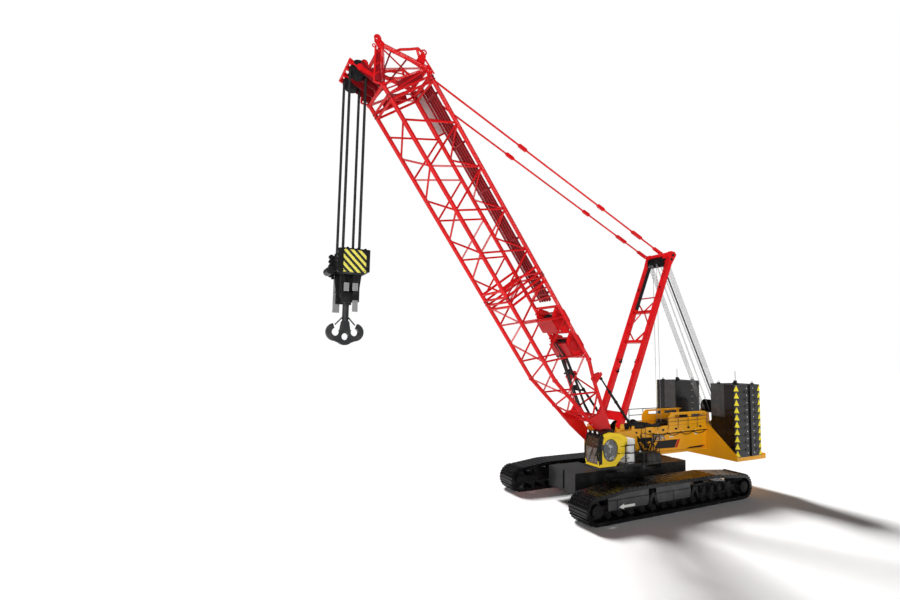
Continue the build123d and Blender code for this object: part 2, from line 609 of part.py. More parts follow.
def access_ladder():
    x0, x1, y = -1430, -930, 1950
    bars = [tube_between((x, y, 2150), (x, y, 3900), RAIL_TUBE) for x in (x0, x1)]
    for i in range(6):
        z = 2250 + 300 * i
        bars.append(tube_between((x0, y, z), (x1, y, z), RAIL_TUBE))
    for z in (2500, 3850):
        for x in (x0, x1):
            bars.append(tube_between((x, FRAME_HALF_WIDTH + RAIL_PROUD + SEAT, z), (x, y, z), RAIL_TUBE))
    return fuse(bars)


# ---- counterweight tray, slab stacks and the rope sheave between them
TRAY_FRONT = FRAME_REAR - SEAT
STACK_FRONT = TRAY_FRONT - GUSSET - SEAT


def counterweight_tray():
    deck = block(TRAY_REAR, TRAY_FRONT, -TRAY_HALF_WIDTH, TRAY_HALF_WIDTH, TRAY_BOTTOM, TRAY_TOP)
    edge = Polyline((TRAY_FRONT, 0, TRAY_TOP - 1), (TRAY_FRONT, TRAY_HALF_WIDTH, TRAY_TOP - 1),
                    (TRAY_FRONT, TRAY_HALF_WIDTH, TRAY_TOP + 60), (TRAY_FRONT, FRAME_HALF_WIDTH + 40, TOP_REAR),
                    (TRAY_FRONT, 0, TOP_REAR), close=True)
    gusset = extrude(make_face(edge), amount=GUSSET, dir=(-1, 0, 0))
    rim = block(TRAY_REAR, TRAY_REAR + 100, -TRAY_HALF_WIDTH, TRAY_HALF_WIDTH, TRAY_TOP - 1, TRAY_TOP + 90)
    return fuse([deck, gusset, mirror(gusset, Plane.XZ), rim])


def counterweight():
    """Left stack: slabs with a joint line between them and a keyway in the outer face."""
    bottom = TRAY_TOP + SEAT
    stack = block(STACK_REAR, STACK_FRONT, STACK_INNER, TRAY_HALF_WIDTH, bottom, STACK_TOP)
    stack = chamfer(stack.edges().filter_by(Axis.Z).sort_by(Axis.Y)[2:], SLAB_CORNER)
    height = (STACK_TOP - bottom) / SLABS
    for i in range(1, SLABS):
        z = bottom + i * height
        ring = block(STACK_REAR - 1, STACK_FRONT + 1, STACK_INNER - 1, TRAY_HALF_WIDTH + 1, z - 12, z + 12)
        ring -= block(STACK_REAR + SLAB_GROOVE, STACK_FRONT - SLAB_GROOVE, STACK_INNER + SLAB_GROOVE,
                      TRAY_HALF_WIDTH - SLAB_GROOVE, z - 13, z + 13)
        stack -= ring
    middle = (STACK_REAR + STACK_FRONT) / 2
    stack -= block(middle - 130, middle + 130, TRAY_HALF_WIDTH - 120, TRAY_HALF_WIDTH + 1, bottom - 1, STACK_TOP + 1)
    lifting = block(middle - 90, middle + 90, 2350, 2500, STACK_TOP - 1, STACK_TOP + 230)
    rod = tube_between((middle, 2425, STACK_TOP + 200), (middle, 2425, STACK_TOP + 880), 20)
    return fuse([stack, lifting, rod])


def rear_gantry():
    """Bracket on the tray that holds the luffing rope's sheave: two plates with ties between them."""
    front, bottom = STACK_FRONT - 5, TRAY_TOP + SEAT
    rear = GANTRY_SHEAVE_X - 750
    outline = [(front, bottom), (rear, bottom), (rear + 300, GANTRY_SHEAVE_Z - 270), (GANTRY_SHEAVE_X - 200, GANTRY_SHEAVE_Z + 230),
               (GANTRY_SHEAVE_X + 200, GANTRY_SHEAVE_Z + 230), (GANTRY_SHEAVE_X + 700, 4300), (front, 3900)]
    side = plate(outline, GANTRY_HALF_WIDTH, GANTRY_HALF_WIDTH + 60)
    reach = GANTRY_HALF_WIDTH - SEAT
    cross = block(rear + 150, STACK_FRONT - 60, -reach, reach, bottom, TRAY_TOP + 160)
    tie = block(STACK_FRONT - 105, front, -reach, reach, 3200, 3850)
    axle = pin(GANTRY_SHEAVE_X, GANTRY_SHEAVE_Z, -reach, reach, PIN_RADIUS)
    return [side, mirror(side, Plane.XZ), cross, tie, axle]


def sheave_stack(x, z, y0, y1, radius, count, hole):
    """Row of grooved rope sheaves side by side."""
    width = (y1 - y0) / count
    shape = boss(x, z, radius - 60, y0, y1, hole)
    for i in range(count + 1):
        y = y0 + i * width
        a, b = max(y0, y - 18), min(y1, y + 18)
        shape += boss(x, z, radius, a, b, hole)
    return shape


def gantry_sheaves():
    half = GANTRY_HALF_WIDTH - CLEAR
    return sheave_stack(GANTRY_SHEAVE_X, GANTRY_SHEAVE_Z, -half, half, GANTRY_SHEAVE_RADIUS, 8, PIN_RADIUS + SEAT)


# ---- boom lattice, in boom coordinates (s along the boom, y across, n away from the load side)
# corner points of one side of the foot section: s, n
FOOT_BOTTOM = [(0.0, -300.0), (500.0, -550.0), (2310.0, -900.0), (4700.0, -CHORD_N)]
FOOT_TOP = [(0.0, 250.0), (870.0, 420.0), (3130.0, 990.0), (4270.0, CHORD_N)]


def chord_at(table, s):
    """Distance n of a chord at s, along its corner points and then parallel."""
    for (s0, n0), (s1, n1) in zip(table, table[1:]):
        if s <= s1:
            return n0 + (n1 - n0) * (s - s0) / (s1 - s0)
    return table[-1][1]


def corner(s, side, top):
    """Point on a chord's middle line; side is 1 on the left, top is True on the back face."""
    return (s, side * CHORD_Y, chord_at(FOOT_TOP if top else FOOT_BOTTOM, s))


def joint(s, y, n, grow=0.0):
    """Short drum that rounds off the corner between two tubes."""
    reach = CHORD_RADIUS - 3 + grow
    return pin(s, n, y - reach, y + reach, CHORD_RADIUS + 5 + grow)


def chord_tubes(start, end, side, grow=0.0):
    """Both chords of one side truss; grown by a gap, they are what a cross tube is cut back to."""
    tubes = []
    for top, table in enumerate((FOOT_BOTTOM, FOOT_TOP)):
        stops = [start] + [s for s, n in table if start < s < end] + [end]
        for a, b in zip(stops, stops[1:]):
            tubes.append(bar(corner(a, side, top), corner(b, side, top), CHORD_RADIUS + grow))
        tubes += [joint(*corner(s, side, top), grow) for s in stops[1:-1]]
    return tubes


def side_lacing(nodes, side):
    """Zigzag of one side truss."""
    return [bar(corner(a, side, k % 2 == 1), corner(b, side, k % 2 == 0), LACING_RADIUS)
            for k, (a, b) in enumerate(zip(nodes, nodes[1:]))]


def cross_lacing(nodes, top, left_out=(0.0, 0.0)):
    """Zigzag across the front or the back of the boom, with none in the stretch left out."""
    bars = []
    for k, (a, b) in enumerate(zip(nodes, nodes[1:])):
        side = 1 if k % 2 == top else -1
        if b < left_out[0] or a > left_out[1]:
            bars.append(bar(corner(a, side, top), corner(b, -side, top), LACING_RADIUS))
    return bars


def upright(s, side, grow=0.0):
    """Tube of an end frame between the two chords of one side."""
    return bar(corner(s, side, False), corner(s, side, True), END_TUBE_RADIUS + grow)


def cross_tube(s, top, grow=0.0):
    """Tube of an end frame from one side truss to the other."""
    return bar(corner(s, -1, top), corner(s, 1, top), END_TUBE_RADIUS + grow)


def cut_back(tube, others):
    """A tube shortened so that it stands just off the pieces it is fixed to."""
    for other in others:
        tube -= other
    return tube


def end_brace(s):
    """Slanting tube across an end frame, cut back to the tubes it meets."""
    meets = [upright(s, side, SEAT) for side in (-1, 1)] + [cross_tube(s, top, SEAT) for top in (False, True)]
    return cut_back(bar(corner(s, 1, False), corner(s, -1, True), LACING_RADIUS), meets)


WINCH_TUBES = (4450.0, 6250.0, 8050.0)
WINCH_TUBE_RADIUS = 70.0
FOOT_TUBES = (700.0, 1180.0)


def foot_cheek(side, grow=0.0):
    """Thick plate that joins two chords at the boom's foot."""
    start = FOOT_PLATE_LENGTH
    pin_s = -PIN_REACH
    outline = [(pin_s - 220, -110), (pin_s - 100, -230), (pin_s + 150, -250), (500, -550 - CHORD_RADIUS),
               (start + 450, -730 - CHORD_RADIUS), (start + 450, -600), (start + 250, 0), (start + 450, 500), (start + 450, 680),
               (870, 420 + CHORD_RADIUS), (0, 300), (pin_s - 100, 230), (pin_s - 220, 110)]
    reach = FOOT_PLATE / 2 + grow
    return plate(outline, side * CHORD_Y - reach, side * CHORD_Y + reach)


def boom_foot():
    """Two side trusses that narrow to the foot pins, and the tubes between them."""
    start, end = FOOT_PLATE_LENGTH - 100, FOOT_END - SEAT
    nodes = [start + 200, 2300, 3500, 4700, 6000, 7300, 8600, 9900]
    frame = FOOT_END - 150
    pieces = []
    for side in (-1, 1):
        truss = chord_tubes(start, end, side) + side_lacing(nodes, side) + [upright(frame, side)]
        cheek = foot_cheek(side)
        truss.append(cheek - pin(-PIN_REACH, 0, side * CHORD_Y - FOOT_PLATE, side * CHORD_Y + FOOT_PLATE, PIN_RADIUS + 0.05))
        # backstop lugs on the back chord
        for y in (CHORD_Y - BARREL_RADIUS - CLEAR - PLATE, CHORD_Y + BARREL_RADIUS + CLEAR):
            y0, y1 = sorted((side * y, side * (y + PLATE)))
            n = chord_at(FOOT_TOP, BACKSTOP_S)
            truss.append(plate([(BACKSTOP_S - 260, n - 40), (BACKSTOP_S + 260, n + 60),
                                (BACKSTOP_S + 90, BACKSTOP_N + 180), (BACKSTOP_S - 90, BACKSTOP_N + 180)], y0, y1))
        pieces.append(fuse(truss))
    meets = [shape for side in (-1, 1) for shape in chord_tubes(start, end, side, SEAT) + [foot_cheek(side, SEAT)]]
    across = cross_lacing(nodes, False) + cross_lacing(nodes, True, (WINCH_TUBES[0], WINCH_TUBES[-1]))
    across += [cross_tube(frame, top) for top in (False, True)] + [end_brace(frame)]
    across += [bar(corner(s, -1, True), corner(s, 1, True), WINCH_TUBE_RADIUS) for s in WINCH_TUBES]
    pieces += [cut_back(tube, meets) for tube in across]
    reach = CHORD_Y - FOOT_PLATE / 2 - SEAT
    pieces += [bar((s, -reach, -100), (s, reach, -100), CHORD_RADIUS) for s in FOOT_TUBES]
    return pieces


def boom_insert():
    """Straight middle section: two side trusses and the tubes between them."""
    nodes = [NODE_START + NODE_STEP * i for i in range(9)]
    start, end = FOOT_END, INSERT_END - SEAT
    frames = (start + 150, end - 150)
    pieces = [fuse(chord_tubes(start, end, side) + side_lacing(nodes, side) + [upright(s, side) for s in frames])
              for side in (-1, 1)]
    meets = [tube for side in (-1, 1) for tube in chord_tubes(start, end, side, SEAT)]
    across = cross_lacing(nodes, False) + cross_lacing(nodes, True)
    across += [cross_tube(s, top) for s in frames for top in (False, True)] + [end_brace(s) for s in frames]
    return pieces + [cut_back(tube, meets) for tube in across]


HEAD_BACK = (22720.0, 1430.0)
HEAD_SHELF = (23250.0, -1113.0)    # tube behind the sheave arms
HEAD_FRAME = INSERT_END + 120
# stations of the head's side truss: s, n
HEAD_LINE = [(INSERT_END, -CHORD_N), (HEAD_CORNER, -CHORD_N), (HEAD_TIP_S, HEAD_TIP_N), HEAD_BACK,
             (INSERT_END + 250, CHORD_N), (INSERT_END, CHORD_N)]


def head_tubes(side, grow=0.0):
    """Tubes of one side of the head."""
    y = side * CHORD_Y
    tubes = [bar((s0, y, n0), (s1, y, n1), CHORD_RADIUS + grow) for (s0, n0), (s1, n1) in zip(HEAD_LINE, HEAD_LINE[1:])]
    tubes += [joint(s, y, n, grow) for s, n in HEAD_LINE[1:-1]]
    tubes.append(bar((HEAD_FRAME, y, -CHORD_N), (HEAD_BACK[0], y, HEAD_BACK[1]), LACING_RADIUS + grow))
    tubes.append(bar((HEAD_CORNER, y, -CHORD_N), (HEAD_BACK[0], y, HEAD_BACK[1]), LACING_RADIUS + 15 + grow))
    return tubes + [upright(HEAD_FRAME, side, grow)]


def boom_head():
    """Two side trusses, the tubes between them and the arms that hold the hoist sheaves."""
    pieces = []
    lug_gap = 60 + CLEAR
    for side in (-1, 1):
        y = side * CHORD_Y
        truss = head_tubes(side)
        # lug for a jib pin at the tip
        jib = plate([(HEAD_TIP_S - 150, HEAD_TIP_N - 250), (24850, -530), (25060, -380), (24980, -220),
                     (HEAD_TIP_S, HEAD_TIP_N + 130)], y - 45, y + 45)
        truss.append(jib - pin(24910, -370, y - 50, y + 50, JIB_PIN_RADIUS))
        # rear top horn
        truss.append(plate([(22900, 1300), (23300, 1050), (23500, 1500), (23440, 1680), (23300, 1680)], y - 45, y + 45))
        pieces.append(fuse(truss))
    bracket = [bar((SHEAVE_S, -ROPE_Y - 360, SHEAVE_N), (SHEAVE_S, ROPE_Y + 360, SHEAVE_N), PIN_RADIUS)]
    for y in (ROPE_Y - SHEAVE_GROUP / 2 - 60, ROPE_Y + SHEAVE_GROUP / 2 + 20):
        for side in (-1, 1):
            y0, y1 = sorted((side * y, side * (y + PLATE)))
            bracket.append(plate([(HEAD_CORNER - 110, -CHORD_N), (HEAD_SHELF[0] + 60, HEAD_SHELF[1] - 30), (SHEAVE_S + 200, -1600),
                                  (SHEAVE_S + 130, SHEAVE_N - 100), (SHEAVE_S - 130, SHEAVE_N - 100)], y0, y1))

    def across(station, grow=0.0):
        s, n = station
        return bar((s, -CHORD_Y, n), (s, CHORD_Y, n), CHORD_RADIUS - 20 + grow)

    tip = (HEAD_TIP_S, HEAD_TIP_N)
    bracket += [across((HEAD_CORNER, -CHORD_N)), across(HEAD_SHELF)]
    meets = [tube for side in (-1, 1) for tube in head_tubes(side, SEAT)]
    brace = cut_back(bar((tip[0], -CHORD_Y, tip[1]), (HEAD_BACK[0], CHORD_Y, HEAD_BACK[1]), LACING_RADIUS),
                     [across(tip, SEAT), across(HEAD_BACK, SEAT)])
    loose = [fuse(bracket), across(tip), across(HEAD_BACK), brace]
    # back cross tube with the pendants' lugs
    carrier = [bar(corner(HEAD_FRAME, -1, True), corner(HEAD_FRAME, 1, True), PENDANT_TUBE_RADIUS)]
    for side in (-1, 1):
        y = side * PENDANT_Y
        for y0 in (y - lug_gap - PLATE, y + lug_gap):
            carrier.append(plate([(HEAD_FRAME - 80, CHORD_N), (HEAD_FRAME + 80, CHORD_N), (LUG_S + 90, LUG_N + 110),
                                  (LUG_S - 90, LUG_N + 110)], y0, y0 + PLATE))
        carrier.append(pin(LUG_S, LUG_N, y - lug_gap - PLATE + 1, y + lug_gap + PLATE - 1, 40))
    loose += [fuse(carrier), cross_tube(HEAD_FRAME, False)]
    return pieces + [cut_back(piece, meets) for piece in loose]


def tip_sheaves():
    half = SHEAVE_GROUP / 2
    return [BOOM * sheave_stack(SHEAVE_S, SHEAVE_N, side * ROPE_Y - half, side * ROPE_Y + half, SHEAVE_RADIUS, 5, PIN_RADIUS + SEAT)
            for side in (-1, 1)]


def boom_winches():
    """Two winches standing between the cross tubes on the back of the foot section."""
    winches = []
    for a, b in zip(WINCH_TUBES, WINCH_TUBES[1:]):
        reach = WINCH_TUBE_RADIUS * BAR_FLAT + SEAT
        s0, s1 = a + reach, b - reach
        middle = (s0 + s1) / 2
        parts = [plate([(s0, CHORD_N - 60), (s0 + 250, CHORD_N - 480), (s1 - 250, CHORD_N - 480), (s1, CHORD_N - 60), (s1, CHORD_N + 60),
                        (middle + 380, CHORD_N + 480), (middle - 380, CHORD_N + 480), (s0, CHORD_N + 60)], y0, y0 + PLATE)
                 for y0 in (-820, 780)]
        parts.append(winch_drum(middle, CHORD_N, 781, 330, 440))
        winches.append(BOOM * fuse(parts))
    return winches


BARS_START = 8400.0
STORED_BAR_RADIUS = 62.0
STORED_BARS = ((0, (-480, -240, 0, 240, 480)), (1, (-360, -120, 120, 360)))    # layer, places across


def boom_bars():
    """Stored bars in two layers, clamped along the back of the boom."""
    start, end = BARS_START, INSERT_END - 100
    low = CHORD_N + END_TUBE_RADIUS + SEAT
    step = 2 * STORED_BAR_RADIUS + 20
    bars = [tube_between((start, y, low + STORED_BAR_RADIUS + layer * step), (end, y, low + STORED_BAR_RADIUS + layer * step),
                         STORED_BAR_RADIUS) for layer, places in STORED_BARS for y in places]
    top = low + STORED_BAR_RADIUS + step + STORED_BAR_RADIUS
    clamps = [block(s - 60, s + 60, -555, 555, low + 15, top + 20)
              for s in (start + 500, start + 4200, (start + end) / 2 + 600, end - 3400, end - 500)]
    return BOOM * fuse(bars + clamps)


# ---- mast: two box legs, cross beams and a rope sheave block at the head
MAST_LENGTH = math.hypot(MAST_HEAD_X - MAST_FOOT_X, MAST_HEAD_Z - MAST_FOOT_Z)
MAST_ANGLE = math.degrees(math.atan2(MAST_HEAD_Z - MAST_FOOT_Z, MAST_HEAD_X - MAST_FOOT_X))
MAST = Location((MAST_FOOT_X, 0, MAST_FOOT_Z), (0, -MAST_ANGLE, 0))
MAST_BEAMS = (5730.0, 7930.0)
MAST_TIE = 9000.0          # thin tube above the beams
MAST_SHEAVE_S = MAST_LENGTH - 240
MAST_SHEAVE_N = -60.0
MAST_SHEAVE_RADIUS = 340.0
HEAD_BEAM_S = MAST_SHEAVE_S + MAST_SHEAVE_RADIUS + 15
MAST_CYLINDER_Y = -430.0
MAST_CYLINDER_RADIUS = 105.0


def mast_frame():
    half = MAST_LEG / 2
    head = MAST_LENGTH
    parts = []
    for side in (-1, 1):
        y = side * MAST_Y
        leg = plate([(-half, -half), (0, -half - 20), (900, -half), (head - 500, -half), (head + 100, -half - 60),
                     (head + 420, -half - 60), (head + 520, 120), (head + 400, 330), (head - 150, half + 60), (head - 450, half),
                     (900, half), (0, half + 20), (-half, half)], y - half, y + half)
        leg -= pin(0, 0, y - half - 1, y + half + 1, PIN_RADIUS + 0.05)
        leg -= pin(head + 130, -20, y - half - 1, y + half + 1, 90)
        parts.append(leg)
    inner = MAST_Y - half + 1
    for s in MAST_BEAMS:
        parts.append(block(s - 90, s + 90, -inner, inner, -100, 100))
        # two short struts from the middle of the beam to the legs
        for side in (-1, 1):
            parts.append(tube_between((s, 0, 0), (s + 800, side * inner, 0), 50))
    parts.append(tube_between((MAST_TIE, -inner, 0), (MAST_TIE, inner, 0), 45))
    # foot plate, box beam over the sheaves and the sheaves' axle
    parts.append(block(280, 850, -inner, inner, -60, 60))
    parts.append(block(HEAD_BEAM_S, HEAD_BEAM_S + 260, -inner, inner, -220, 160))
    parts.append(pin(MAST_SHEAVE_S, MAST_SHEAVE_N, -inner, inner, PIN_RADIUS))
    # seat of the cylinder on the upper beam
    parts.append(block(MAST_BEAMS[1] - 60, MAST_BEAMS[1] + 60, MAST_CYLINDER_Y - 90, MAST_CYLINDER_Y + 90, -340, -99))
    return MAST * fuse(parts)


def mast_sheaves():
    return MAST * sheave_stack(MAST_SHEAVE_S, MAST_SHEAVE_N, -620, 620, MAST_SHEAVE_RADIUS, 10, PIN_RADIUS + SEAT)


def mast_cylinder():
    """Long black cylinder that stands on the mast's upper beam, beside its right leg."""
    start = MAST_BEAMS[1] + 60 + SEAT
    end = MAST_SHEAVE_S - MAST_SHEAVE_RADIUS - 150
    barrel = tube_between((start, MAST_CYLINDER_Y, -230), (end, MAST_CYLINDER_Y, -230), MAST_CYLINDER_RADIUS)
    return MAST * barrel


# places of the joints along each pendant, from the boom's end
PENDANT_JOINTS = (6380.0, 12890.0, 16270.0)


def pendant():
    """Pendant drawn along X from its pin on the boom towards the mast head."""
    length = PENDANT_LENGTH - PENDANT_SHORT
    parts = [boss(0, 0, 120, -60, 60, 40.05), tube_between((100, 0, 0), (length - 100, 0, 0), PENDANT_RADIUS)]
    for s in PENDANT_JOINTS:
        parts.append(plate([(s - 380, 0), (s - 230, -110), (s + 230, -110), (s + 380, 0), (s + 230, 110), (s - 230, 110)], -60, 60))
    parts.append(boss(length, 0, 130, -45, 45, 70))
    return fuse(parts)


def boom_point(s, n):
    """Global x and z of a point in boom coordinates."""
    a = math.radians(BOOM_ANGLE)
    return BOOM_X + s * math.cos(a) - n * math.sin(a), BOOM_Z + s * math.sin(a) + n * math.cos(a)


PENDANT_START = boom_point(LUG_S, LUG_N)
PENDANT_LENGTH = math.hypot(MAST_HEAD_X - PENDANT_START[0], MAST_HEAD_Z - PENDANT_START[1])
PENDANT_ANGLE = math.degrees(math.atan2(MAST_HEAD_Z - PENDANT_START[1], MAST_HEAD_X - PENDANT_START[0]))
BACKSTOP_EYE = boom_point(BACKSTOP_S, BACKSTOP_N)
BACKSTOP_LENGTH = math.hypot(BACKSTOP_EYE[0] - BACKSTOP_X, BACKSTOP_EYE[1] - BACKSTOP_Z)
BACKSTOP_ANGLE = math.degrees(math.atan2(BACKSTOP_EYE[1] - BACKSTOP_Z, BACKSTOP_EYE[0] - BACKSTOP_X))


def backstop_barrel():
    """Tube open at its upper end, with an eye at its foot."""
    bore = ROD_RADIUS + SEAT
    tube = tube_between((190, 0, 0), (BARREL_LENGTH, 0, 0), BARREL_RADIUS) - tube_between((350, 0, 0), (BARREL_LENGTH + 1, 0, 0), bore)
    tongue = block(0, 191, -60, 60, -70, 70) - pin(0, 0, -61, 61, 100)
    return fuse([tube, tongue, boss(0, 0, 110, -60, 60, 40.05)])


ROD_START = 1440.0         # far enough from the barrel's foot for the highest boom


def backstop_rod():
    """Rod that slides in the barrel, with a plain eye at its open end."""
    rod = tube_between((ROD_START, 0, 0), (BACKSTOP_LENGTH - 60, 0, 0), ROD_RADIUS)
    return fuse([rod, boss(BACKSTOP_LENGTH, 0, 110, -60, 60, 50)])


# ---- hoist ropes: an upper bar inside a lower sleeve, so that they lengthen with the hook block
SHEAVE_X, SHEAVE_Z = boom_point(SHEAVE_S, SHEAVE_N)
ROPE_OFFSET = SHEAVE_RADIUS - 30
HOIST_TOP = SHEAVE_Z - SHEAVE_RADIUS - 60
ROPES = [(SHEAVE_X + dx, y) for dx in (-ROPE_OFFSET, ROPE_OFFSET) for y in (-ROPE_Y, ROPE_Y)]
SLEEVE_TOP = HOIST_TOP - 250


def hoist_ropes():
    """Upper rope bars below a hanger that swings on the sheave axle."""
    bars = [tube_between((x, y, BLOCK_TOP + 60), (x, y, HOIST_TOP + 30), ROPE_RADIUS) for x, y in ROPES]
    bars += [block(SHEAVE_X - ROPE_OFFSET - 40, SHEAVE_X + ROPE_OFFSET + 40, y - 40, y + 40, HOIST_TOP - 10, HOIST_TOP + 40)
             for y in (-ROPE_Y, ROPE_Y)]
    bars.append(block(SHEAVE_X - 40, SHEAVE_X + 40, -ROPE_Y - 350, ROPE_Y + 350, HOIST_TOP - 60, HOIST_TOP - 9))
    for side in (-1, 1):
        y0, y1 = sorted((side * (ROPE_Y + 345), side * (ROPE_Y + 345 + PLATE)))
        strap = block(SHEAVE_X - 50, SHEAVE_X + 50, y0, y1, HOIST_TOP - 60, SHEAVE_Z)
        bars.append(strap + boss(SHEAVE_X, SHEAVE_Z, 110, y0, y1, PIN_RADIUS + 0.05))
    shape = fuse(bars)
    return shape - pin(SHEAVE_X, SHEAVE_Z, -2000, 2000, PIN_RADIUS + 0.05)


def rope_sleeves():
    """Lower rope tubes on the hook block."""
    inner = ROPE_RADIUS + CLEAR
    tubes = []
    for x, y in ROPES:
        tubes.append(tube_between((x, y, BLOCK_TOP + SEAT), (x, y, SLEEVE_TOP), inner + SLEEVE_WALL)
                     - tube_between((x, y, BLOCK_TOP + 40), (x, y, SLEEVE_TOP - ROPE_GUIDE), inner)
                     - tube_between((x, y, BLOCK_TOP + 40), (x, y, SLEEVE_TOP + 1), ROPE_RADIUS + SEAT))
    return tubes


BLOCK_X = SHEAVE_X
BLOCK_SHEAVE_Z = BLOCK_BOTTOM + 480


def block_frame():
    parts = []
    for side in (-1, 1):
        y0, y1 = sorted((side * (BLOCK_HALF_WIDTH - 60), side * BLOCK_HALF_WIDTH))
        parts.append(block(BLOCK_REAR, BLOCK_FRONT, y0, y1, BLOCK_BOTTOM, BLOCK_TOP))
        y0, y1 = sorted((side * 250, side * 300))
        parts.append(plate([(BLOCK_X - 300, BLOCK_BOTTOM + 60), (BLOCK_X + 300, BLOCK_BOTTOM + 60), (BLOCK_X + 260, CROSSHEAD_Z - 200),
                            (BLOCK_X - 260, CROSSHEAD_Z - 200)], y0, y1))
    for x0, x1 in ((BLOCK_REAR, BLOCK_REAR + 90), (BLOCK_FRONT - 90, BLOCK_FRONT)):
        parts.append(block(x0, x1, -BLOCK_HALF_WIDTH, BLOCK_HALF_WIDTH, BLOCK_BOTTOM, BLOCK_BOTTOM + 200))
    # top bars under the ropes
    for dx in (-ROPE_OFFSET, ROPE_OFFSET):
        parts.append(block(BLOCK_X + dx - 55, BLOCK_X + dx + 55, -BLOCK_HALF_WIDTH, BLOCK_HALF_WIDTH, BLOCK_TOP - 70, BLOCK_TOP))
    parts.append(block(BLOCK_REAR + 1, BLOCK_FRONT - 1, -320, 320, BLOCK_BOTTOM, BLOCK_BOTTOM + 59 + 2))
    parts.append(pin(BLOCK_X, BLOCK_SHEAVE_Z, -BLOCK_HALF_WIDTH + 1, BLOCK_HALF_WIDTH - 1, PIN_RADIUS))
    # crosshead with the hole that the hook's shank turns in
    head = block(BLOCK_X - 262, BLOCK_X + 262, -302, 302, CROSSHEAD_Z - 200, CROSSHEAD_Z)
    head -= Pos(BLOCK_X, 0, CROSSHEAD_Z - 100) * Cylinder(SHANK_RADIUS + 0.08, 300)
    parts.append(head)
    # roller stack on the front
    parts.append(pin(18630, 12530, -420, 420, 190))
    parts.append(block(18000, 18630, -380, -320, 12480, 12590))
    parts.append(block(18000, 18630, 320, 380, 12480, 12590))
    return fuse(parts)


def block_sheaves():
    return [sheave_stack(BLOCK_X, BLOCK_SHEAVE_Z, y - SHEAVE_GROUP / 2, y + SHEAVE_GROUP / 2, SHEAVE_RADIUS, 5, PIN_RADIUS + SEAT)
            for y in (-ROPE_Y + 5, ROPE_Y - 5)]


def hook():
    """Double hook with a turned shank, a nut above the crosshead and an eye in the middle."""
    horns = []
    t = HOOK_THICKNESS / 2
    for side in (-1, 1):
        x = BLOCK_X + side * HORN_OFFSET
        ring = pin(x, HORN_Z, -t, t, HORN_RADIUS) - pin(x, HORN_Z, -t - 1, t + 1, HORN_THROAT)
        mouth = plate([(x, HORN_Z), (x - side * 900, HORN_Z + 500), (x - side * 300, HORN_Z + 1200), (x + side * 330, HORN_Z + 900)], -t - 1, t + 1)
        horns.append(ring - mouth)
    body = plate([(BLOCK_X - 290, HOOK_EYE_Z), (BLOCK_X + 290, HOOK_EYE_Z), (BLOCK_X + 170, 10150), (BLOCK_X - 170, 10150)], -t, t)
    heart = pin(BLOCK_X, HOOK_EYE_Z, -t, t, 410)
    shape = fuse(horns + [body, heart])
    for side in (-1, 1):
        shape -= pin(BLOCK_X + side * HORN_OFFSET, HORN_Z, -t - 1, t + 1, HORN_THROAT)
    shape -= pin(BLOCK_X, HOOK_EYE_Z, -t - 1, t + 1, HOOK_EYE_RADIUS)
    low, high = CROSSHEAD_Z - 200, CROSSHEAD_Z
    shank = Pos(BLOCK_X, 0, (10100 + high + 160) / 2) * Cylinder(SHANK_RADIUS, high + 160 - 10100)
    nut = Pos(BLOCK_X, 0, high + SEAT + 80) * Cylinder(SHANK_RADIUS + 75, 160)
    collar = Pos(BLOCK_X, 0, low - 60 - CLEAR) * Cylinder(SHANK_RADIUS + 60, 120)
    return fuse([shape, shank, nut, collar])


# ---- write every sub-part
def on_both_sides(node, shape):
    """Write a left piece and its mirror image."""
    save(shape, f"{node}_left")
    save(mirror(shape, Plane.XZ), f"{node}_right")


on_both_sides("track", track())
on_both_sides("track_frame", track_frame())
on_both_sides("track_wheels", Compound(children=track_wheels()))
save(carbody(), "carbody")
save(ballast(), "carbody_ballast_front")
save(mirror(ballast(), Plane.YZ), "carbody_ballast_rear")
save(slew_ring(RING_BOTTOM + SEAT, RING_SPLIT - SEAT), "slew_ring_lower")
save(slew_ring(RING_SPLIT, RING_TOP - SEAT), "slew_ring_upper")

save(main_frame(), "main_frame")
save(Compound(children=rear_housing()), "rear_housing")
save(block(ENGINE_FRONT - ENGINE_LENGTH, ENGINE_FRONT, -850, 850, FRAME_BOTTOM + FLOOR + SEAT, 4350), "engine")
save(Compound(children=[winch_drum(x, z, WEB_INNER - SEAT, r, f) for x, z, r, f in FRAME_WINCHES]), "frame_winches")
cab_right, cab_left, *cab_walls_between = cab_shell()
save(Compound(children=[cab_right, *cab_walls_between]), "cab_shell")
save(cab_left, "cab_side_left")
save(Compound(children=cab_glass()), "cab_glass")
save(cab_seat(), "cab_seat")
save(cab_door(), "cab_door")
save(door_glass(), "door_glass")
save(platform(), "platform")
save(block(*CABINET_X, *CABINET_Y, CAB_FLOOR, CABINET_TOP), "cabinet")
save(Compound(children=railings()), "railings")
save(side_walk(), "side_walk")
save(access_ladder(), "access_ladder")
save(counterweight_tray(), "counterweight_tray")
on_both_sides("counterweight", counterweight())
save(Compound(children=rear_gantry()), "rear_gantry")
save(gantry_sheaves(), "gantry_sheaves")

for node, pieces in (("boom_foot", boom_foot()), ("boom_insert", boom_insert()), ("boom_head", boom_head())):
    save(Compound(children=[BOOM * piece for piece in pieces]), node)
save(Compound(children=tip_sheaves()), "tip_sheaves")
save(Compound(children=boom_winches()), "boom_winches")
save(boom_bars(), "boom_bars")

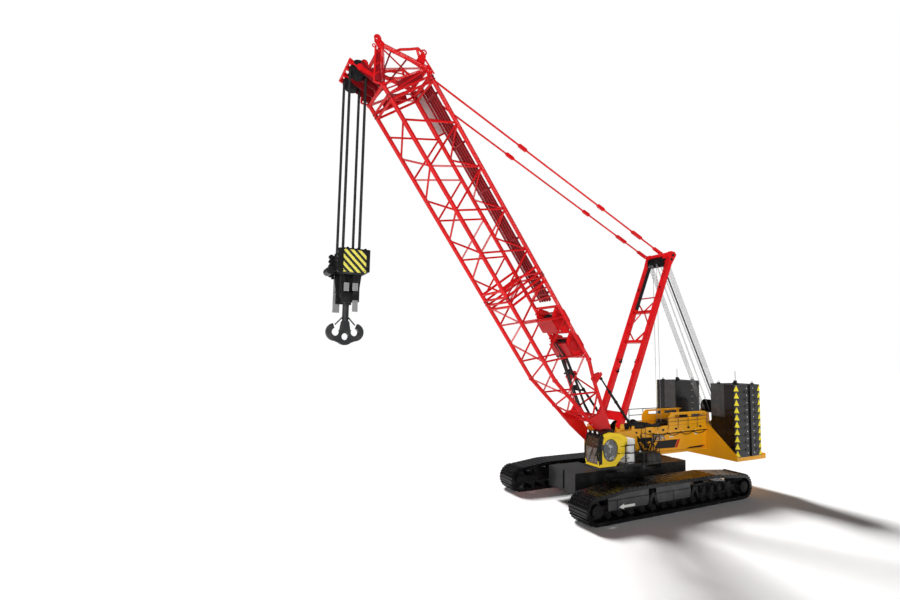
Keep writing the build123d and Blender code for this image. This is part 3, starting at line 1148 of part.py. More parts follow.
save(mast_frame(), "mast_frame")
save(mast_sheaves(), "mast_sheaves")
save(mast_cylinder(), "mast_cylinder")
pendant_place = Location((PENDANT_START[0], PENDANT_Y, PENDANT_START[1]), (0, -PENDANT_ANGLE, 0))
on_both_sides("pendant", pendant_place * pendant())
backstop_place = Location((BACKSTOP_X, CHORD_Y, BACKSTOP_Z), (0, -BACKSTOP_ANGLE, 0))
on_both_sides("backstop_barrel", backstop_place * backstop_barrel())
on_both_sides("backstop_rod", backstop_place * backstop_rod())

save(hoist_ropes(), "hoist_ropes")
save(Compound(children=rope_sleeves()), "rope_sleeves")
save(block_frame(), "block_frame")
save(Compound(children=block_sheaves()), "block_sheaves")
save(hook(), "hook")
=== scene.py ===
import math
from functools import partial

import bmesh
import bpy
from mathutils import Matrix, Vector


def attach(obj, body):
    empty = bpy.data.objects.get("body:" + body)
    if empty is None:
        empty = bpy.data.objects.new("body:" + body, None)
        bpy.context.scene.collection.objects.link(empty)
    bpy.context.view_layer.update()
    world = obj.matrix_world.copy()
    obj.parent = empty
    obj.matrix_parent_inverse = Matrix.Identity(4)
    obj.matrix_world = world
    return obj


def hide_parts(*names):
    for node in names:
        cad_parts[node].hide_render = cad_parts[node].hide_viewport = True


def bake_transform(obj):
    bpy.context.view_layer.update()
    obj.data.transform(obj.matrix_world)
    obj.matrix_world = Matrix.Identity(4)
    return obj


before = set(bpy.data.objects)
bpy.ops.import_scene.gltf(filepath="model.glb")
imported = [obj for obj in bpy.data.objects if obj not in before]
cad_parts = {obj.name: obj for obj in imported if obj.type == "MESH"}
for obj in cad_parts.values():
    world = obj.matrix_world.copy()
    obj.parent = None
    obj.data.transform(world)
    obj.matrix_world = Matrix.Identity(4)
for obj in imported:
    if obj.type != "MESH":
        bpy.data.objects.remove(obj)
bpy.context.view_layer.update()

# ---- Studio
# A pale floor and a white surround light the crane evenly. One broad key light throws a soft
# shadow towards the near right, and a fill light lifts the faces turned away from it.
STUDIO_WHITE = (0.98, 0.98, 0.975, 1)
SURROUND_LIGHT, SURROUND_GLOSS = 0.035, 0.16
FLOOR_HALF, FLOOR_DROP = 400, -0.002
CAMERA_PLACE = (23.2193, 24.1963, 8.6343)
CAMERA_TURNS = (("Z", 180 - 28.1123), ("X", 90 + 4.9988), ("Z", 0.9543))
CAMERA_LENS = 19.68668
CAMERA_SHIFT = (-0.034, 0.01304)


def set_inputs(tree, node, inputs):
    """Give each input its value, or link it to the socket that feeds it."""
    for key, value in inputs.items():
        if isinstance(value, bpy.types.NodeSocket):
            tree.links.new(value, node.inputs[key])
        else:
            node.inputs[key].default_value = value


def add_node(tree, kind, inputs=None, **settings):
    """Shader node of one kind with its settings and inputs."""
    node = tree.nodes.new("ShaderNode" + kind)
    for key, value in settings.items():
        setattr(node, key, value)
    set_inputs(tree, node, inputs or {})
    return node


def maths(tree, operation, *values):
    """Result of a sum on values or sockets."""
    return add_node(tree, "Math", dict(enumerate(values)), operation=operation).outputs[0]


def remap(tree, value, low=0.0, high=1.0, to_low=0.0, to_high=1.0):
    """Value carried over from one range to another."""
    limits = {"Value": value, "From Min": low, "From Max": high, "To Min": to_low, "To Max": to_high}
    return add_node(tree, "MapRange", limits).outputs["Result"]


def make(name, bm, material, body=None, smooth=False, bevel=0.0):
    """Piece from a mesh, in one material, that moves with a body."""
    mesh = bpy.data.meshes.new(name)
    bm.to_mesh(mesh)
    bm.free()
    if smooth:
        mesh.polygons.foreach_set("use_smooth", [True] * len(mesh.polygons))
        mesh.set_sharp_from_angle(angle=math.radians(40))
    piece = bpy.data.objects.new(name, mesh)
    bpy.context.collection.objects.link(piece)
    mesh.materials.append(material)
    if bevel:
        edge = piece.modifiers.new("edges", "BEVEL")
        edge.width = bevel
        edge.segments = 2
        edge.limit_method = "ANGLE"
    if body:
        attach(piece, body)
    return piece


def studio_sun(name, strength, angle, towards, gloss=True):
    """Sun lamp that shines along the direction towards."""
    lamp = bpy.data.lights.new(name, "SUN")
    lamp.energy = strength
    lamp.angle = math.radians(angle)
    sun = bpy.data.objects.new(name, lamp)
    sun.rotation_euler = Vector(towards).to_track_quat("-Z", "Y").to_euler()
    sun.visible_glossy = gloss
    bpy.context.collection.objects.link(sun)


# surround that is white to the camera and through glass, and dim as a light and in gloss
world = bpy.data.worlds.new("studio surround")
bpy.context.scene.world = world
world.use_nodes = True
tree = world.node_tree
tree.nodes.clear()
ray = add_node(tree, "LightPath").outputs
seen = maths(tree, "MAXIMUM", ray["Is Camera Ray"], ray["Is Transmission Ray"])
light = remap(tree, ray["Is Glossy Ray"], to_low=SURROUND_LIGHT, to_high=SURROUND_GLOSS)
bright = add_node(tree, "Background", {"Color": (1, 1, 1, 1)})
soft = add_node(tree, "Background", {"Color": (0.95, 0.97, 1.0, 1), "Strength": light})
mix = add_node(tree, "MixShader", {0: seen, 1: soft.outputs[0], 2: bright.outputs[0]})
add_node(tree, "OutputWorld", {"Surface": mix.outputs[0]})

# wide floor that keeps the shadow
bm = bmesh.new()
bmesh.ops.create_grid(bm, x_segments=1, y_segments=1, size=FLOOR_HALF)
white = bpy.data.materials.new("studio white")
white.use_nodes = True
set_inputs(white.node_tree, white.node_tree.nodes["Principled BSDF"],
           {"Base Color": STUDIO_WHITE, "Roughness": 0.6, "Specular IOR Level": 0.15})
floor = make("studio_floor", bm, white)
floor.location.z = FLOOR_DROP

studio_sun("key", 5.6, 15, (0.05, 0.78, -0.62), gloss=False)
studio_sun("fill", 2.6, 40, (-0.55, -0.8, -0.03))

# the viewing place is in front of the crane, to its left, a third of its height up
data = bpy.data.cameras.new("view")
data.lens = CAMERA_LENS
data.shift_x, data.shift_y = CAMERA_SHIFT
data.clip_end = 5 * FLOOR_HALF
camera = bpy.data.objects.new("view", data)
stand = Matrix.Translation(CAMERA_PLACE)
for axis, angle in CAMERA_TURNS:
    stand @= Matrix.Rotation(math.radians(angle), 4, axis)
camera.matrix_world = stand
bpy.context.collection.objects.link(camera)
bpy.context.scene.camera = camera
bpy.context.scene.view_settings.view_transform = "Standard"


# ---- Paint on the carried-over parts
# The steelwork is sprayed with gloss enamel over primer. Large faces vary a little in shade,
# dust settles in broad patches, and fine orange peel breaks up the gloss.
def new_group(name, inputs, outputs):
    """Empty shader group: its inputs have defaults, and colours are the tuples among them."""
    group = bpy.data.node_groups.new(name, "ShaderNodeTree")
    for label, default in inputs.items():
        kind = "NodeSocketColor" if isinstance(default, tuple) else "NodeSocketFloat"
        group.interface.new_socket(label, in_out="INPUT", socket_type=kind).default_value = default
    for label in outputs:
        kind = "NodeSocketColor" if label == "Colour" else "NodeSocketFloat"
        group.interface.new_socket(label, in_out="OUTPUT", socket_type=kind)
    return group, group.nodes.new("NodeGroupInput").outputs, group.nodes.new("NodeGroupOutput")


def noise(tree, scale, detail=2.0, distortion=0.0):
    """Cloudy noise in the piece's own coordinates."""
    place = add_node(tree, "TexCoord").outputs["Object"]
    inputs = {"Vector": place, "Scale": scale, "Detail": detail, "Distortion": distortion}
    return add_node(tree, "TexNoise", inputs).outputs["Fac"]


def shaded(tree, colour, share):
    """Colour made lighter or darker by a share."""
    return add_node(tree, "VectorMath", {0: colour, "Scale": share}, operation="SCALE").outputs[0]


def mixed(tree, share, first, second):
    """Colour between two others."""
    inputs = {"Factor": share, "A": first, "B": second}
    return add_node(tree, "Mix", inputs, data_type="RGBA").outputs["Result"]


def enamel_group():
    """Sprayed enamel: shade patches, settled dust and orange peel over a base colour."""
    tree, source, sink = new_group(
        "sprayed enamel",
        {"Colour": (0.5, 0.5, 0.5, 1), "Dust Colour": (0.4, 0.37, 0.33, 1), "Dust": 0.1,
         "Gloss Roughness": 0.3, "Patch Scale": 0.6},
        ("Colour", "Roughness", "Height"))
    shade = remap(tree, noise(tree, source["Patch Scale"], 3), 0.3, 0.7, 0.9, 1.06)
    patch = remap(tree, noise(tree, 1.7, 6), 0.48, 0.72)
    amount = maths(tree, "MULTIPLY", patch, source["Dust"])
    set_inputs(tree, sink, {
        "Colour": mixed(tree, amount, shaded(tree, source["Colour"], shade), source["Dust Colour"]),
        "Roughness": maths(tree, "MULTIPLY_ADD", patch, 0.14, source["Gloss Roughness"]),
        "Height": noise(tree, 45, 2)})
    return tree


def new_material(name, group, values):
    """Principled material and the group that gives its looks."""
    material = bpy.data.materials.new(name)
    material.use_nodes = True
    tree = material.node_tree
    looks = add_node(tree, "Group", values, node_tree=group)
    return material, tree, tree.nodes["Principled BSDF"], looks.outputs


ENAMEL = enamel_group()


def enamel(name, colour, roughness=0.3, dust=0.08, coat=0.0, peel=0.02, metallic=0.0, rounding=0.012):
    """Sprayed enamel in one colour, with its sharp edges softly rounded in the gloss."""
    values = {"Colour": (*colour, 1), "Dust": dust, "Gloss Roughness": roughness, "Patch Scale": 0.6}
    material, tree, shader, looks = new_material(name, ENAMEL, values)
    edge = add_node(tree, "Bevel", {"Radius": rounding}, samples=3)
    bump = add_node(tree, "Bump", {
        "Strength": peel, "Distance": 0.01, "Height": looks["Height"], "Normal": edge.outputs["Normal"]})
    set_inputs(tree, shader, {
        "Base Color": looks["Colour"], "Roughness": looks["Roughness"], "Normal": bump.outputs["Normal"],
        "Metallic": metallic, "Specular IOR Level": 0.22, "Coat Weight": coat, "Coat Roughness": 0.08})
    return material


BOOM_RED = enamel("boom red enamel", (0.74, 0.007, 0.01), roughness=0.35, dust=0.02, coat=0.1, rounding=0.03)
# boom red darkened as painted shade, for the lattice bars, the inner members of the head and the joint pins
SHADED_RED = enamel("shaded red enamel", (0.27, 0.005, 0.01), roughness=0.4, dust=0.04)
WINCH_RED = enamel("winch red enamel", (0.48, 0.005, 0.008), roughness=0.4, dust=0.04)
FRAME_YELLOW = enamel("frame yellow enamel", (0.86, 0.39, 0.009), roughness=0.32, dust=0.03, coat=0.15)
GLOSS_BLACK = enamel("undercarriage black enamel", (0.004, 0.004, 0.005), roughness=0.22, dust=0.015, coat=0.12)
CARBODY_BLACK = enamel("carbody black enamel", (0.016, 0.016, 0.017), dust=0.06, coat=0.15)
CAB_YELLOW = enamel("cab yellow enamel", (0.98, 0.68, 0.012), dust=0.02, coat=0.15)
SATIN_BLACK = enamel("satin black enamel", (0.009, 0.009, 0.01), roughness=0.42, dust=0.03)
SLAB_GREY = enamel("slab grey enamel", (0.01, 0.01, 0.011), dust=0.04, coat=0.2)
DECK_GREY = enamel("deck grey enamel", (0.02, 0.02, 0.021), roughness=0.4, dust=0.12)
HOOK_GREY = enamel("hook grey paint", (0.03, 0.032, 0.034), roughness=0.42, dust=0.1, peel=0.08)
CABINET_WHITE = enamel("cabinet white enamel", (0.85, 0.85, 0.84), roughness=0.25, dust=0.04)
RAIL_GREY = enamel("rail grey enamel", (0.03, 0.03, 0.032), roughness=0.4, dust=0.05)


def paint(material, *nodes):
    """Give carried-over parts a material."""
    for name in nodes:
        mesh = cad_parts[name].data
        mesh.materials.clear()
        mesh.materials.append(material)


paint(GLOSS_BLACK, "track_left", "track_right", "track_frame_left", "track_frame_right")
paint(CARBODY_BLACK, "carbody", "carbody_ballast_front", "carbody_ballast_rear", "slew_ring_lower",
      "slew_ring_upper")
paint(SATIN_BLACK, "track_wheels_left", "track_wheels_right", "frame_winches", "access_ladder", "engine",
      "gantry_sheaves", "tip_sheaves", "mast_sheaves", "block_sheaves", "mast_cylinder", "cab_seat",
      "backstop_barrel_left", "backstop_barrel_right", "backstop_rod_left", "backstop_rod_right",
      "hoist_ropes", "rope_sleeves", "block_frame")
paint(FRAME_YELLOW, "main_frame", "rear_housing", "counterweight_tray", "rear_gantry")
paint(CAB_YELLOW, "cab_shell", "cab_side_left", "cab_door")
paint(SLAB_GREY, "counterweight_left", "counterweight_right")
paint(DECK_GREY, "platform", "side_walk")
paint(CABINET_WHITE, "cabinet")
paint(RAIL_GREY, "railings")
paint(BOOM_RED, "boom_winches", "boom_foot", "boom_insert", "boom_head", "mast_frame", "pendant_left",
      "pendant_right")
# lattice bars in the darker red of painted shade
paint(SHADED_RED, "boom_bars")
paint(HOOK_GREY, "hook")

# weld seams and thick paint round the lattice tubes, but not in the eyes of the pins
PIN_EYES = ((1.478, 3.237, 1.25), (2.75, 7.56, 0.6))
boom_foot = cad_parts["boom_foot"]
lattice = boom_foot.vertex_groups.new(name="lattice")
for vertex in boom_foot.data.vertices:
    if all(math.hypot(vertex.co.x - x, vertex.co.z - z) > reach for x, z, reach in PIN_EYES):
        lattice.add([vertex.index], 1.0, "REPLACE")
for name, thickness in (("boom_foot", 0.013), ("boom_insert", 0.011), ("boom_head", 0.01), ("railings", 0.007)):
    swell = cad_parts[name].modifiers.new("paint thickness", "DISPLACE")
    swell.strength = thickness
    swell.mid_level = 0.0
    if name == "boom_foot":
        swell.vertex_group = "lattice"


# ---- Cab glazing
# The panes are bronze-tinted safety glass, and the door's pane is a darker smoked one.
# They are glued into the shell, and cloudy streaks of reflected light are painted into their colour.
def tinted_glass(name, colour, alpha, streaks=0.12):
    """Tinted pane that shows the inside, with cloudy streaks of reflected light painted into its colour."""
    values = {"Colour": (*colour, 1), "Streaks": streaks}
    group, source, sink = new_group(name + " streaks", values, ("Colour",))
    cloud = remap(group, noise(group, 2.2, 3, 1.2), 0.52, 0.64)
    share = maths(group, "MULTIPLY", cloud, source["Streaks"])
    set_inputs(group, sink, {"Colour": mixed(group, share, source["Colour"], (0.85, 0.86, 0.88, 1))})
    material, tree, shader, looks = new_material(name, group, values)
    set_inputs(tree, shader, {
        "Base Color": looks["Colour"], "Roughness": 0.04, "Alpha": alpha, "Coat Weight": 1.0})
    return material


paint(tinted_glass("bronze glass", (0.1, 0.045, 0.02), 0.7), "cab_glass")
paint(tinted_glass("smoked glass", (0.05, 0.05, 0.055), 0.7, streaks=0.6), "door_glass")


# ---- Luffing ropes
# Galvanised wire ropes run in two groups from the sheaves at the mast head down to the sheaves
# between the counterweights, and two more lead down to the winch. Each is a taut laid rope.
SIDES = ((1, "left"), (-1, "right"))
PIPE_SIDES = 8
X_AXIS, Y_AXIS, Z_AXIS = Matrix.Identity(3)


def on_arm(pivot, angle, s, n, y):
    """Point of an arm: s along it from its pivot, n square to it away from the load, y across."""
    return Vector((pivot[0] + s * math.cos(angle) - n * math.sin(angle), y,
                   pivot[1] + s * math.sin(angle) + n * math.cos(angle)))


on_boom = partial(on_arm, (2.18, 4.21), math.radians(54.2))
on_mast = partial(on_arm, (0.85, 4.4), math.atan2(11.05, -4.71))


def strut(bm, a, b, radius, sides):
    """Round bar between two points."""
    a, b = Vector(a), Vector(b)
    turn = (b - a).to_track_quat("Z", "Y").to_matrix().to_4x4()
    bmesh.ops.create_cone(bm, cap_ends=True, segments=sides, radius1=radius, radius2=radius,
                          depth=(b - a).length, matrix=Matrix.Translation((a + b) / 2) @ turn)


def pin(bm, x, y0, y1, z, radius, sides=12):
    """Round bar straight across the crane."""
    strut(bm, (x, y0, z), (x, y1, z), radius, sides)


def slab(bm, x0, x1, y0, y1, z0, z1):
    """Box between two corners."""
    middle = Matrix.Translation(((x0 + x1) / 2, (y0 + y1) / 2, (z0 + z1) / 2))
    size = Matrix.Diagonal((abs(x1 - x0), abs(y1 - y0), abs(z1 - z0), 1))
    bmesh.ops.create_cube(bm, size=1, matrix=middle @ size)


def prism(bm, corners, along):
    """Solid swept from a flat loop of corners along a vector."""
    near = [bm.verts.new(Vector(c)) for c in corners]
    far = [bm.verts.new(Vector(c) + Vector(along)) for c in corners]
    faces = [bm.faces.new(near), bm.faces.new(far)]
    for i in range(len(near)):
        j = (i + 1) % len(near)
        faces.append(bm.faces.new((near[i], near[j], far[j], far[i])))
    bmesh.ops.recalc_face_normals(bm, faces=faces)


def plate(bm, y, thickness, corners):
    """Plate across the crane, from the x and z of its corners and where it starts."""
    prism(bm, [(x, y, z) for x, z in corners], (0, thickness, 0))


def pipe(bm, points, radius):
    """Tube that follows a line of points."""
    points = [Vector(p) for p in points]
    turns = [2 * math.pi * k / PIPE_SIDES for k in range(PIPE_SIDES)]
    rings = []
    for i, point in enumerate(points):
        ahead = (points[min(i + 1, len(points) - 1)] - points[max(i - 1, 0)]).normalized()
        twist = ahead.to_track_quat("Z", "Y")
        rings.append([bm.verts.new(point + twist @ Vector((radius * math.cos(t), radius * math.sin(t), 0)))
                      for t in turns])
    for a, b in zip(rings, rings[1:]):
        for k in range(PIPE_SIDES):
            j = (k + 1) % PIPE_SIDES
            bm.faces.new((a[k], a[j], b[j], b[k]))
    bm.faces.new(rings[0][::-1])
    bm.faces.new(rings[-1])


def sagging(a, b, drop, count=12):
    """Points of a hose that hangs between two ends."""
    shares = [k / count for k in range(count + 1)]
    return [Vector(a).lerp(Vector(b), t) - Z_AXIS * (4 * drop * t * (1 - t)) for t in shares]


def rope_metal(name, colour, metallic):
    """Laid wire rope: slanting strands, with painted highlights on their crests and painted shade between them.
    """
    values = {"Colour": (*colour, 1), "Lay": 26.0}
    group, source, sink = new_group(name + " strands", values, ("Colour", "Height"))
    place = add_node(group, "TexCoord").outputs["Object"]
    inputs = {"Vector": place, "Scale": source["Lay"], "Distortion": 0.6}
    wave = add_node(group, "TexWave", inputs, bands_direction="DIAGONAL").outputs["Fac"]
    shade = remap(group, wave, to_low=0.5, to_high=1.1)
    set_inputs(group, sink, {"Colour": shaded(group, source["Colour"], shade), "Height": wave})
    material, tree, shader, looks = new_material(name, group, values)
    bump = add_node(tree, "Bump", {"Strength": 0.6, "Distance": 0.01, "Height": looks["Height"]})
    set_inputs(tree, shader, {"Base Color": looks["Colour"], "Normal": bump.outputs["Normal"]})
    set_inputs(tree, shader, {"Roughness": 0.45, "Metallic": metallic})
    return material


BRIGHT_ROPE = rope_metal("galvanised rope", (0.36, 0.36, 0.37), 0.5)
BLACK_ROPE = rope_metal("greased rope", (0.012, 0.012, 0.012), 0.1)
MAST_SHEAVE = on_mast(11.772, -0.06, 0)
GANTRY_SHEAVE = Vector((-9.0, 0, 5.17))
MAST_SHEAVE_RADIUS, GANTRY_SHEAVE_RADIUS = 0.34, 0.47
# rear and front edge of the falls, as shares of a sheave's radius along its two axes
FALL_EDGES = (Vector((-0.886, 0, 0.464)), Vector((0.886, 0, -0.464)))

for side, word in SIDES:
    bm = bmesh.new()
    outgoing, returning = FALL_EDGES[::side]
    falls = [(outgoing, 0.24 + 0.09 * k, 0.2 + 0.08 * k, 0.015) for k in range(5)]
    falls += [(returning, 0.12 + 0.07 * k, 0.12 + 0.07 * k, 0.013) for k in range(2)]
    for edge, high, low, radius in falls:
        strut(bm, MAST_SHEAVE + edge * MAST_SHEAVE_RADIUS + Y_AXIS * (side * high),
              GANTRY_SHEAVE + edge * GANTRY_SHEAVE_RADIUS + Y_AXIS * (side * low), radius, 6)
    ropes = make(f"luffing_ropes_{word}", bm, BRIGHT_ROPE, smooth=True)
    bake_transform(ropes)

bm = bmesh.new()
for y in (0.04, 0.12):
    strut(bm, MAST_SHEAVE + Vector((-0.28, y, 0.15)), GANTRY_SHEAVE + Vector((-0.4, y, 0.21)), 0.028, 8)
line = make("luffing_line_black", bm, BLACK_ROPE, smooth=True)
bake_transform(line)

bm = bmesh.new()
for x, y in ((-3.3, 0.1), (-3.32, 0.42)):
    strut(bm, (x, y, 4.35), on_mast(11.3, -0.5, y), 0.013, 6)
leads = make("winch_leads", bm, BRIGHT_ROPE, smooth=True)
tuple(on_mast(11.3, -0.5, 0.2))
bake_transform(leads)


# ---- Hoist ropes
# Four falls of greased black wire rope hang from the boom's sheaves to the hook block. They stand
# for the plain bars and sleeves, and stay straight as the block travels.
SHEAVE_AXLE = on_boom(24.03, -1.88, 0)
bm = bmesh.new()
for dx in (-0.39, 0.39):
    for side in (-1, 1):
        for lane in (-0.056, 0.056):
            y = side * 0.65 + lane
            x, top = SHEAVE_AXLE.x + dx, SHEAVE_AXLE.z - 0.1
            strut(bm, (x, y, 13.2), (x, y, top), 0.055, 8)
falls = make("hoist_falls", bm, BLACK_ROPE, smooth=True)
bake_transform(falls)
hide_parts("hoist_ropes", "rope_sleeves")


# ---- Hook block
# Heavy plate cheeks carry glued-on yellow and black warning stripes. Rollers, hangers, pale corner
# guards and bolts dress the block, and the hook has latches and a forged web, in dark grey paint.
def stripes(name, band, slant):
    """Warning stripes in yellow and black enamel, slanting across the face."""
    group, source, sink = new_group(name, {"Band": band}, ("Colour", "Roughness"))
    place = add_node(group, "TexCoord").outputs["Object"]
    along = add_node(group, "VectorMath", {0: place, 1: slant}, operation="DOT_PRODUCT").outputs["Value"]
    part = maths(group, "FRACT", maths(group, "DIVIDE", along, source["Band"]))
    black = maths(group, "GREATER_THAN", part, 0.5)
    colour = mixed(group, black, (0.88, 0.8, 0.13, 1), (0.012, 0.012, 0.012, 1))
    set_inputs(group, sink, {"Colour": colour, "Roughness": noise(group, 9)})
    material, tree, shader, looks = new_material(name, group, {"Band": band})
    set_inputs(tree, shader, {"Base Color": looks["Colour"], "Roughness": looks["Roughness"]})
    return material


WARNING = stripes("warning stripes", 0.35, (1.0, 0.0, -1.0))
GUARD_GREY = enamel("galvanised guard", (0.36, 0.36, 0.37), roughness=0.45, metallic=0.3)
CHEEK_BACK = [(18.12, 13.52), (17.22, 13.5), (17.09, 13.36)]
ROLLER_X, ROLLER_Z, ROLLER_PITCH = 18.36, 12.5, 0.23
HANGER_Y, BEAM_Z = 0.62, 11.28

bm = bmesh.new()
for y, front in ((0.985, 0.0), (-1.02, -0.09)):
    edge = [(18.24, 12.4), (18.27, 12.55), (18.25, 13.34)]
    plate(bm, y, 0.035, [(17.1, 12.44)] + [(x + front, z) for x, z in edge] + CHEEK_BACK)
make("block_cheeks", bm, WARNING, "hook_block", bevel=0.01)

bm = bmesh.new()
for y in (-1.0, 1.0):
    for k in range(5):
        pin(bm, ROLLER_X, y - 0.09, y + 0.09, ROLLER_Z + ROLLER_PITCH * k, 0.115, 16)
    slab(bm, 18.19, 18.31, y - 0.06, y + 0.05, 12.3, 13.5)
for x in (17.15, 17.5, 18.0):
    for y in (0.8, -1.0):
        pin(bm, x, y, y + 0.2, 13.56, 0.07, 14)
make("block_rollers", bm, SATIN_BLACK, "hook_block", smooth=True)

# hangers that carry the crosshead, with pins and a thin retaining bar
bm = bmesh.new()
for y in (-HANGER_Y, HANGER_Y):
    for x, foot in ((18.12, 18.02), (17.32, 17.42)):
        plate(bm, y - 0.04, 0.08,
              [(x - 0.13, 12.52), (x + 0.13, 12.52), (foot + 0.1, 11.42), (foot - 0.1, 11.42)])
    slab(bm, 17.36, 18.14, y - 0.05, y + 0.05, 11.02, 11.5)
    slab(bm, 17.36, 17.66, y * 1.5 - 0.04, y * 1.5 + 0.04, 11.02, 12.45)
    strut(bm, (17.3, y, 11.62), (18.2, y, 11.6), 0.022, 8)
    for x in (17.45, 17.76, 18.05):
        pin(bm, x, y - 0.09, y + 0.09, BEAM_Z, 0.05)
    for x, z in ((17.45, 12), (17.55, 12.25), (17.42, 11.78)):
        pin(bm, x, y - 0.1, y + 0.1, z, 0.1, 16)
make("block_hangers", bm, SATIN_BLACK, "hook_block", bevel=0.006)

bm = bmesh.new()
for y, x0, x1, z0, z1 in (
        (-0.98, 17.86, 18.2, 10.62, 12.42), (0.95, 17.42, 17.68, 10.56, 11.1),
        (-0.98, 17.42, 17.62, 10.72, 11.3), (0.95, 17.86, 18.1, 11.52, 11.92),
        (0.95, 17.44, 17.7, 11.55, 11.92)):
    slab(bm, x0, x1, y, y + 0.03, z0, z1)
    slab(bm, x0, x0 + 0.03, y - 0.1, y, z0, z1)
    for z in (z0 + 0.1, z1 - 0.1):
        pin(bm, (x0 + x1) / 2, y - 0.012, y + 0.05, z, 0.03, 6)
make("block_guards", bm, GUARD_GREY, "hook_block", bevel=0.004)

bm = bmesh.new()
for y in (-1, 1):
    for x in (17.18, 18.16):
        for z in (12.5, 13.4):
            pin(bm, x, y * 1.018, y * 1.04, z, 0.026, 6)
    slab(bm, 17.2, 18.2, y * 0.9, y * 1.03, 12.33, 12.42)
make("block_bolts", bm, HOOK_GREY, "hook_block", bevel=0.004)

# spring latches across the two throats, and the forged web under the horns
LATCH = [(0.14, 10.3), (0.17, 10.35), (0.5, 9.99), (0.46, 9.95)]
WEB = [(0.0, 9.02), (0.18, 9.06), (0.42, 9.15), (0.66, 9.28), (0.82, 9.42), (0.7, 9.42), (0.45, 9.3),
       (0.3, 9.24), (0.0, 9.1)]
latches, web = bmesh.new(), bmesh.new()
for side in (-1, 1):
    plate(latches, -0.035, 0.07, [(SHEAVE_AXLE.x + side * dx, z) for dx, z in LATCH])
    pin(latches, SHEAVE_AXLE.x + side * 0.16, -0.12, 0.12, 10.31, 0.03)
    plate(web, -0.13, 0.26, [(SHEAVE_AXLE.x + side * dx, z) for dx, z in WEB])
make("hook_latches", latches, RAIL_GREY, "hook", bevel=0.006)
make("hook_web", web, HOOK_GREY, "hook", bevel=0.02)


# ---- Tracks
# Forged hub caps with a ring of bolts close both ends of each track frame, grey cover sheets with
# a painted arrow are screwed to its side, and forged grouser bars stand on the shoes at its ends.
COVER_GREY = enamel("cover grey enamel", (0.055, 0.055, 0.058), dust=0.1, coat=0.2)
SIGN_WHITE = enamel("sign white paint", (0.78, 0.78, 0.76), roughness=0.5, dust=0.05)
END_WHEELS, WHEEL_Z = (5.62, -6.2), 0.74
HUB_Y, COVER_Y, ARROW_Y = 4.27, 4.183, 4.194
ROLLERS, ROLLER_STEP = 13, 0.818
SHOE_INNER, SHOE_WIDTH = 2.86, 1.44
COVER_TOPS = ([(1.89, 1.12), (4.82, 1.12), (4.82, 1.3), (3.45, 1.45), (1.89, 1.47)],
              [(-1.46, 1.12), (1.31, 1.12), (1.31, 1.48), (-1.46, 1.48)])
ARROW = [(2.95, 0.71), (2.95, 0.84), (3.74, 0.84), (3.74, 0.92), (4.08, 0.775), (3.74, 0.63), (3.74, 0.71)]


def disc(bm, centre, axis, radius, depth, sides=28):
    """Flat round plate whose back rests at a point and that stands out along an axis."""
    strut(bm, centre, Vector(centre) + Vector(axis) * depth, radius, sides)


def ring(bm, centre, u, v, thickness, count=32):
    """Closed hoop round a centre; u and v are two radii at right angles."""
    turns = [2 * math.pi * k / count for k in range(count + 1)]
    pipe(bm, [Vector(centre) + u * math.cos(t) + v * math.sin(t) for t in turns], thickness)


def bolt_ring(bm, centre, axis, radius, count, size):
    """Ring of bolt heads round a centre on a face that looks sideways."""
    other = axis.cross(X_AXIS)
    for k in range(count):
        t = 2 * math.pi * k / count
        disc(bm, Vector(centre) + (X_AXIS * math.cos(t) + other * math.sin(t)) * radius, axis, size, size, 6)


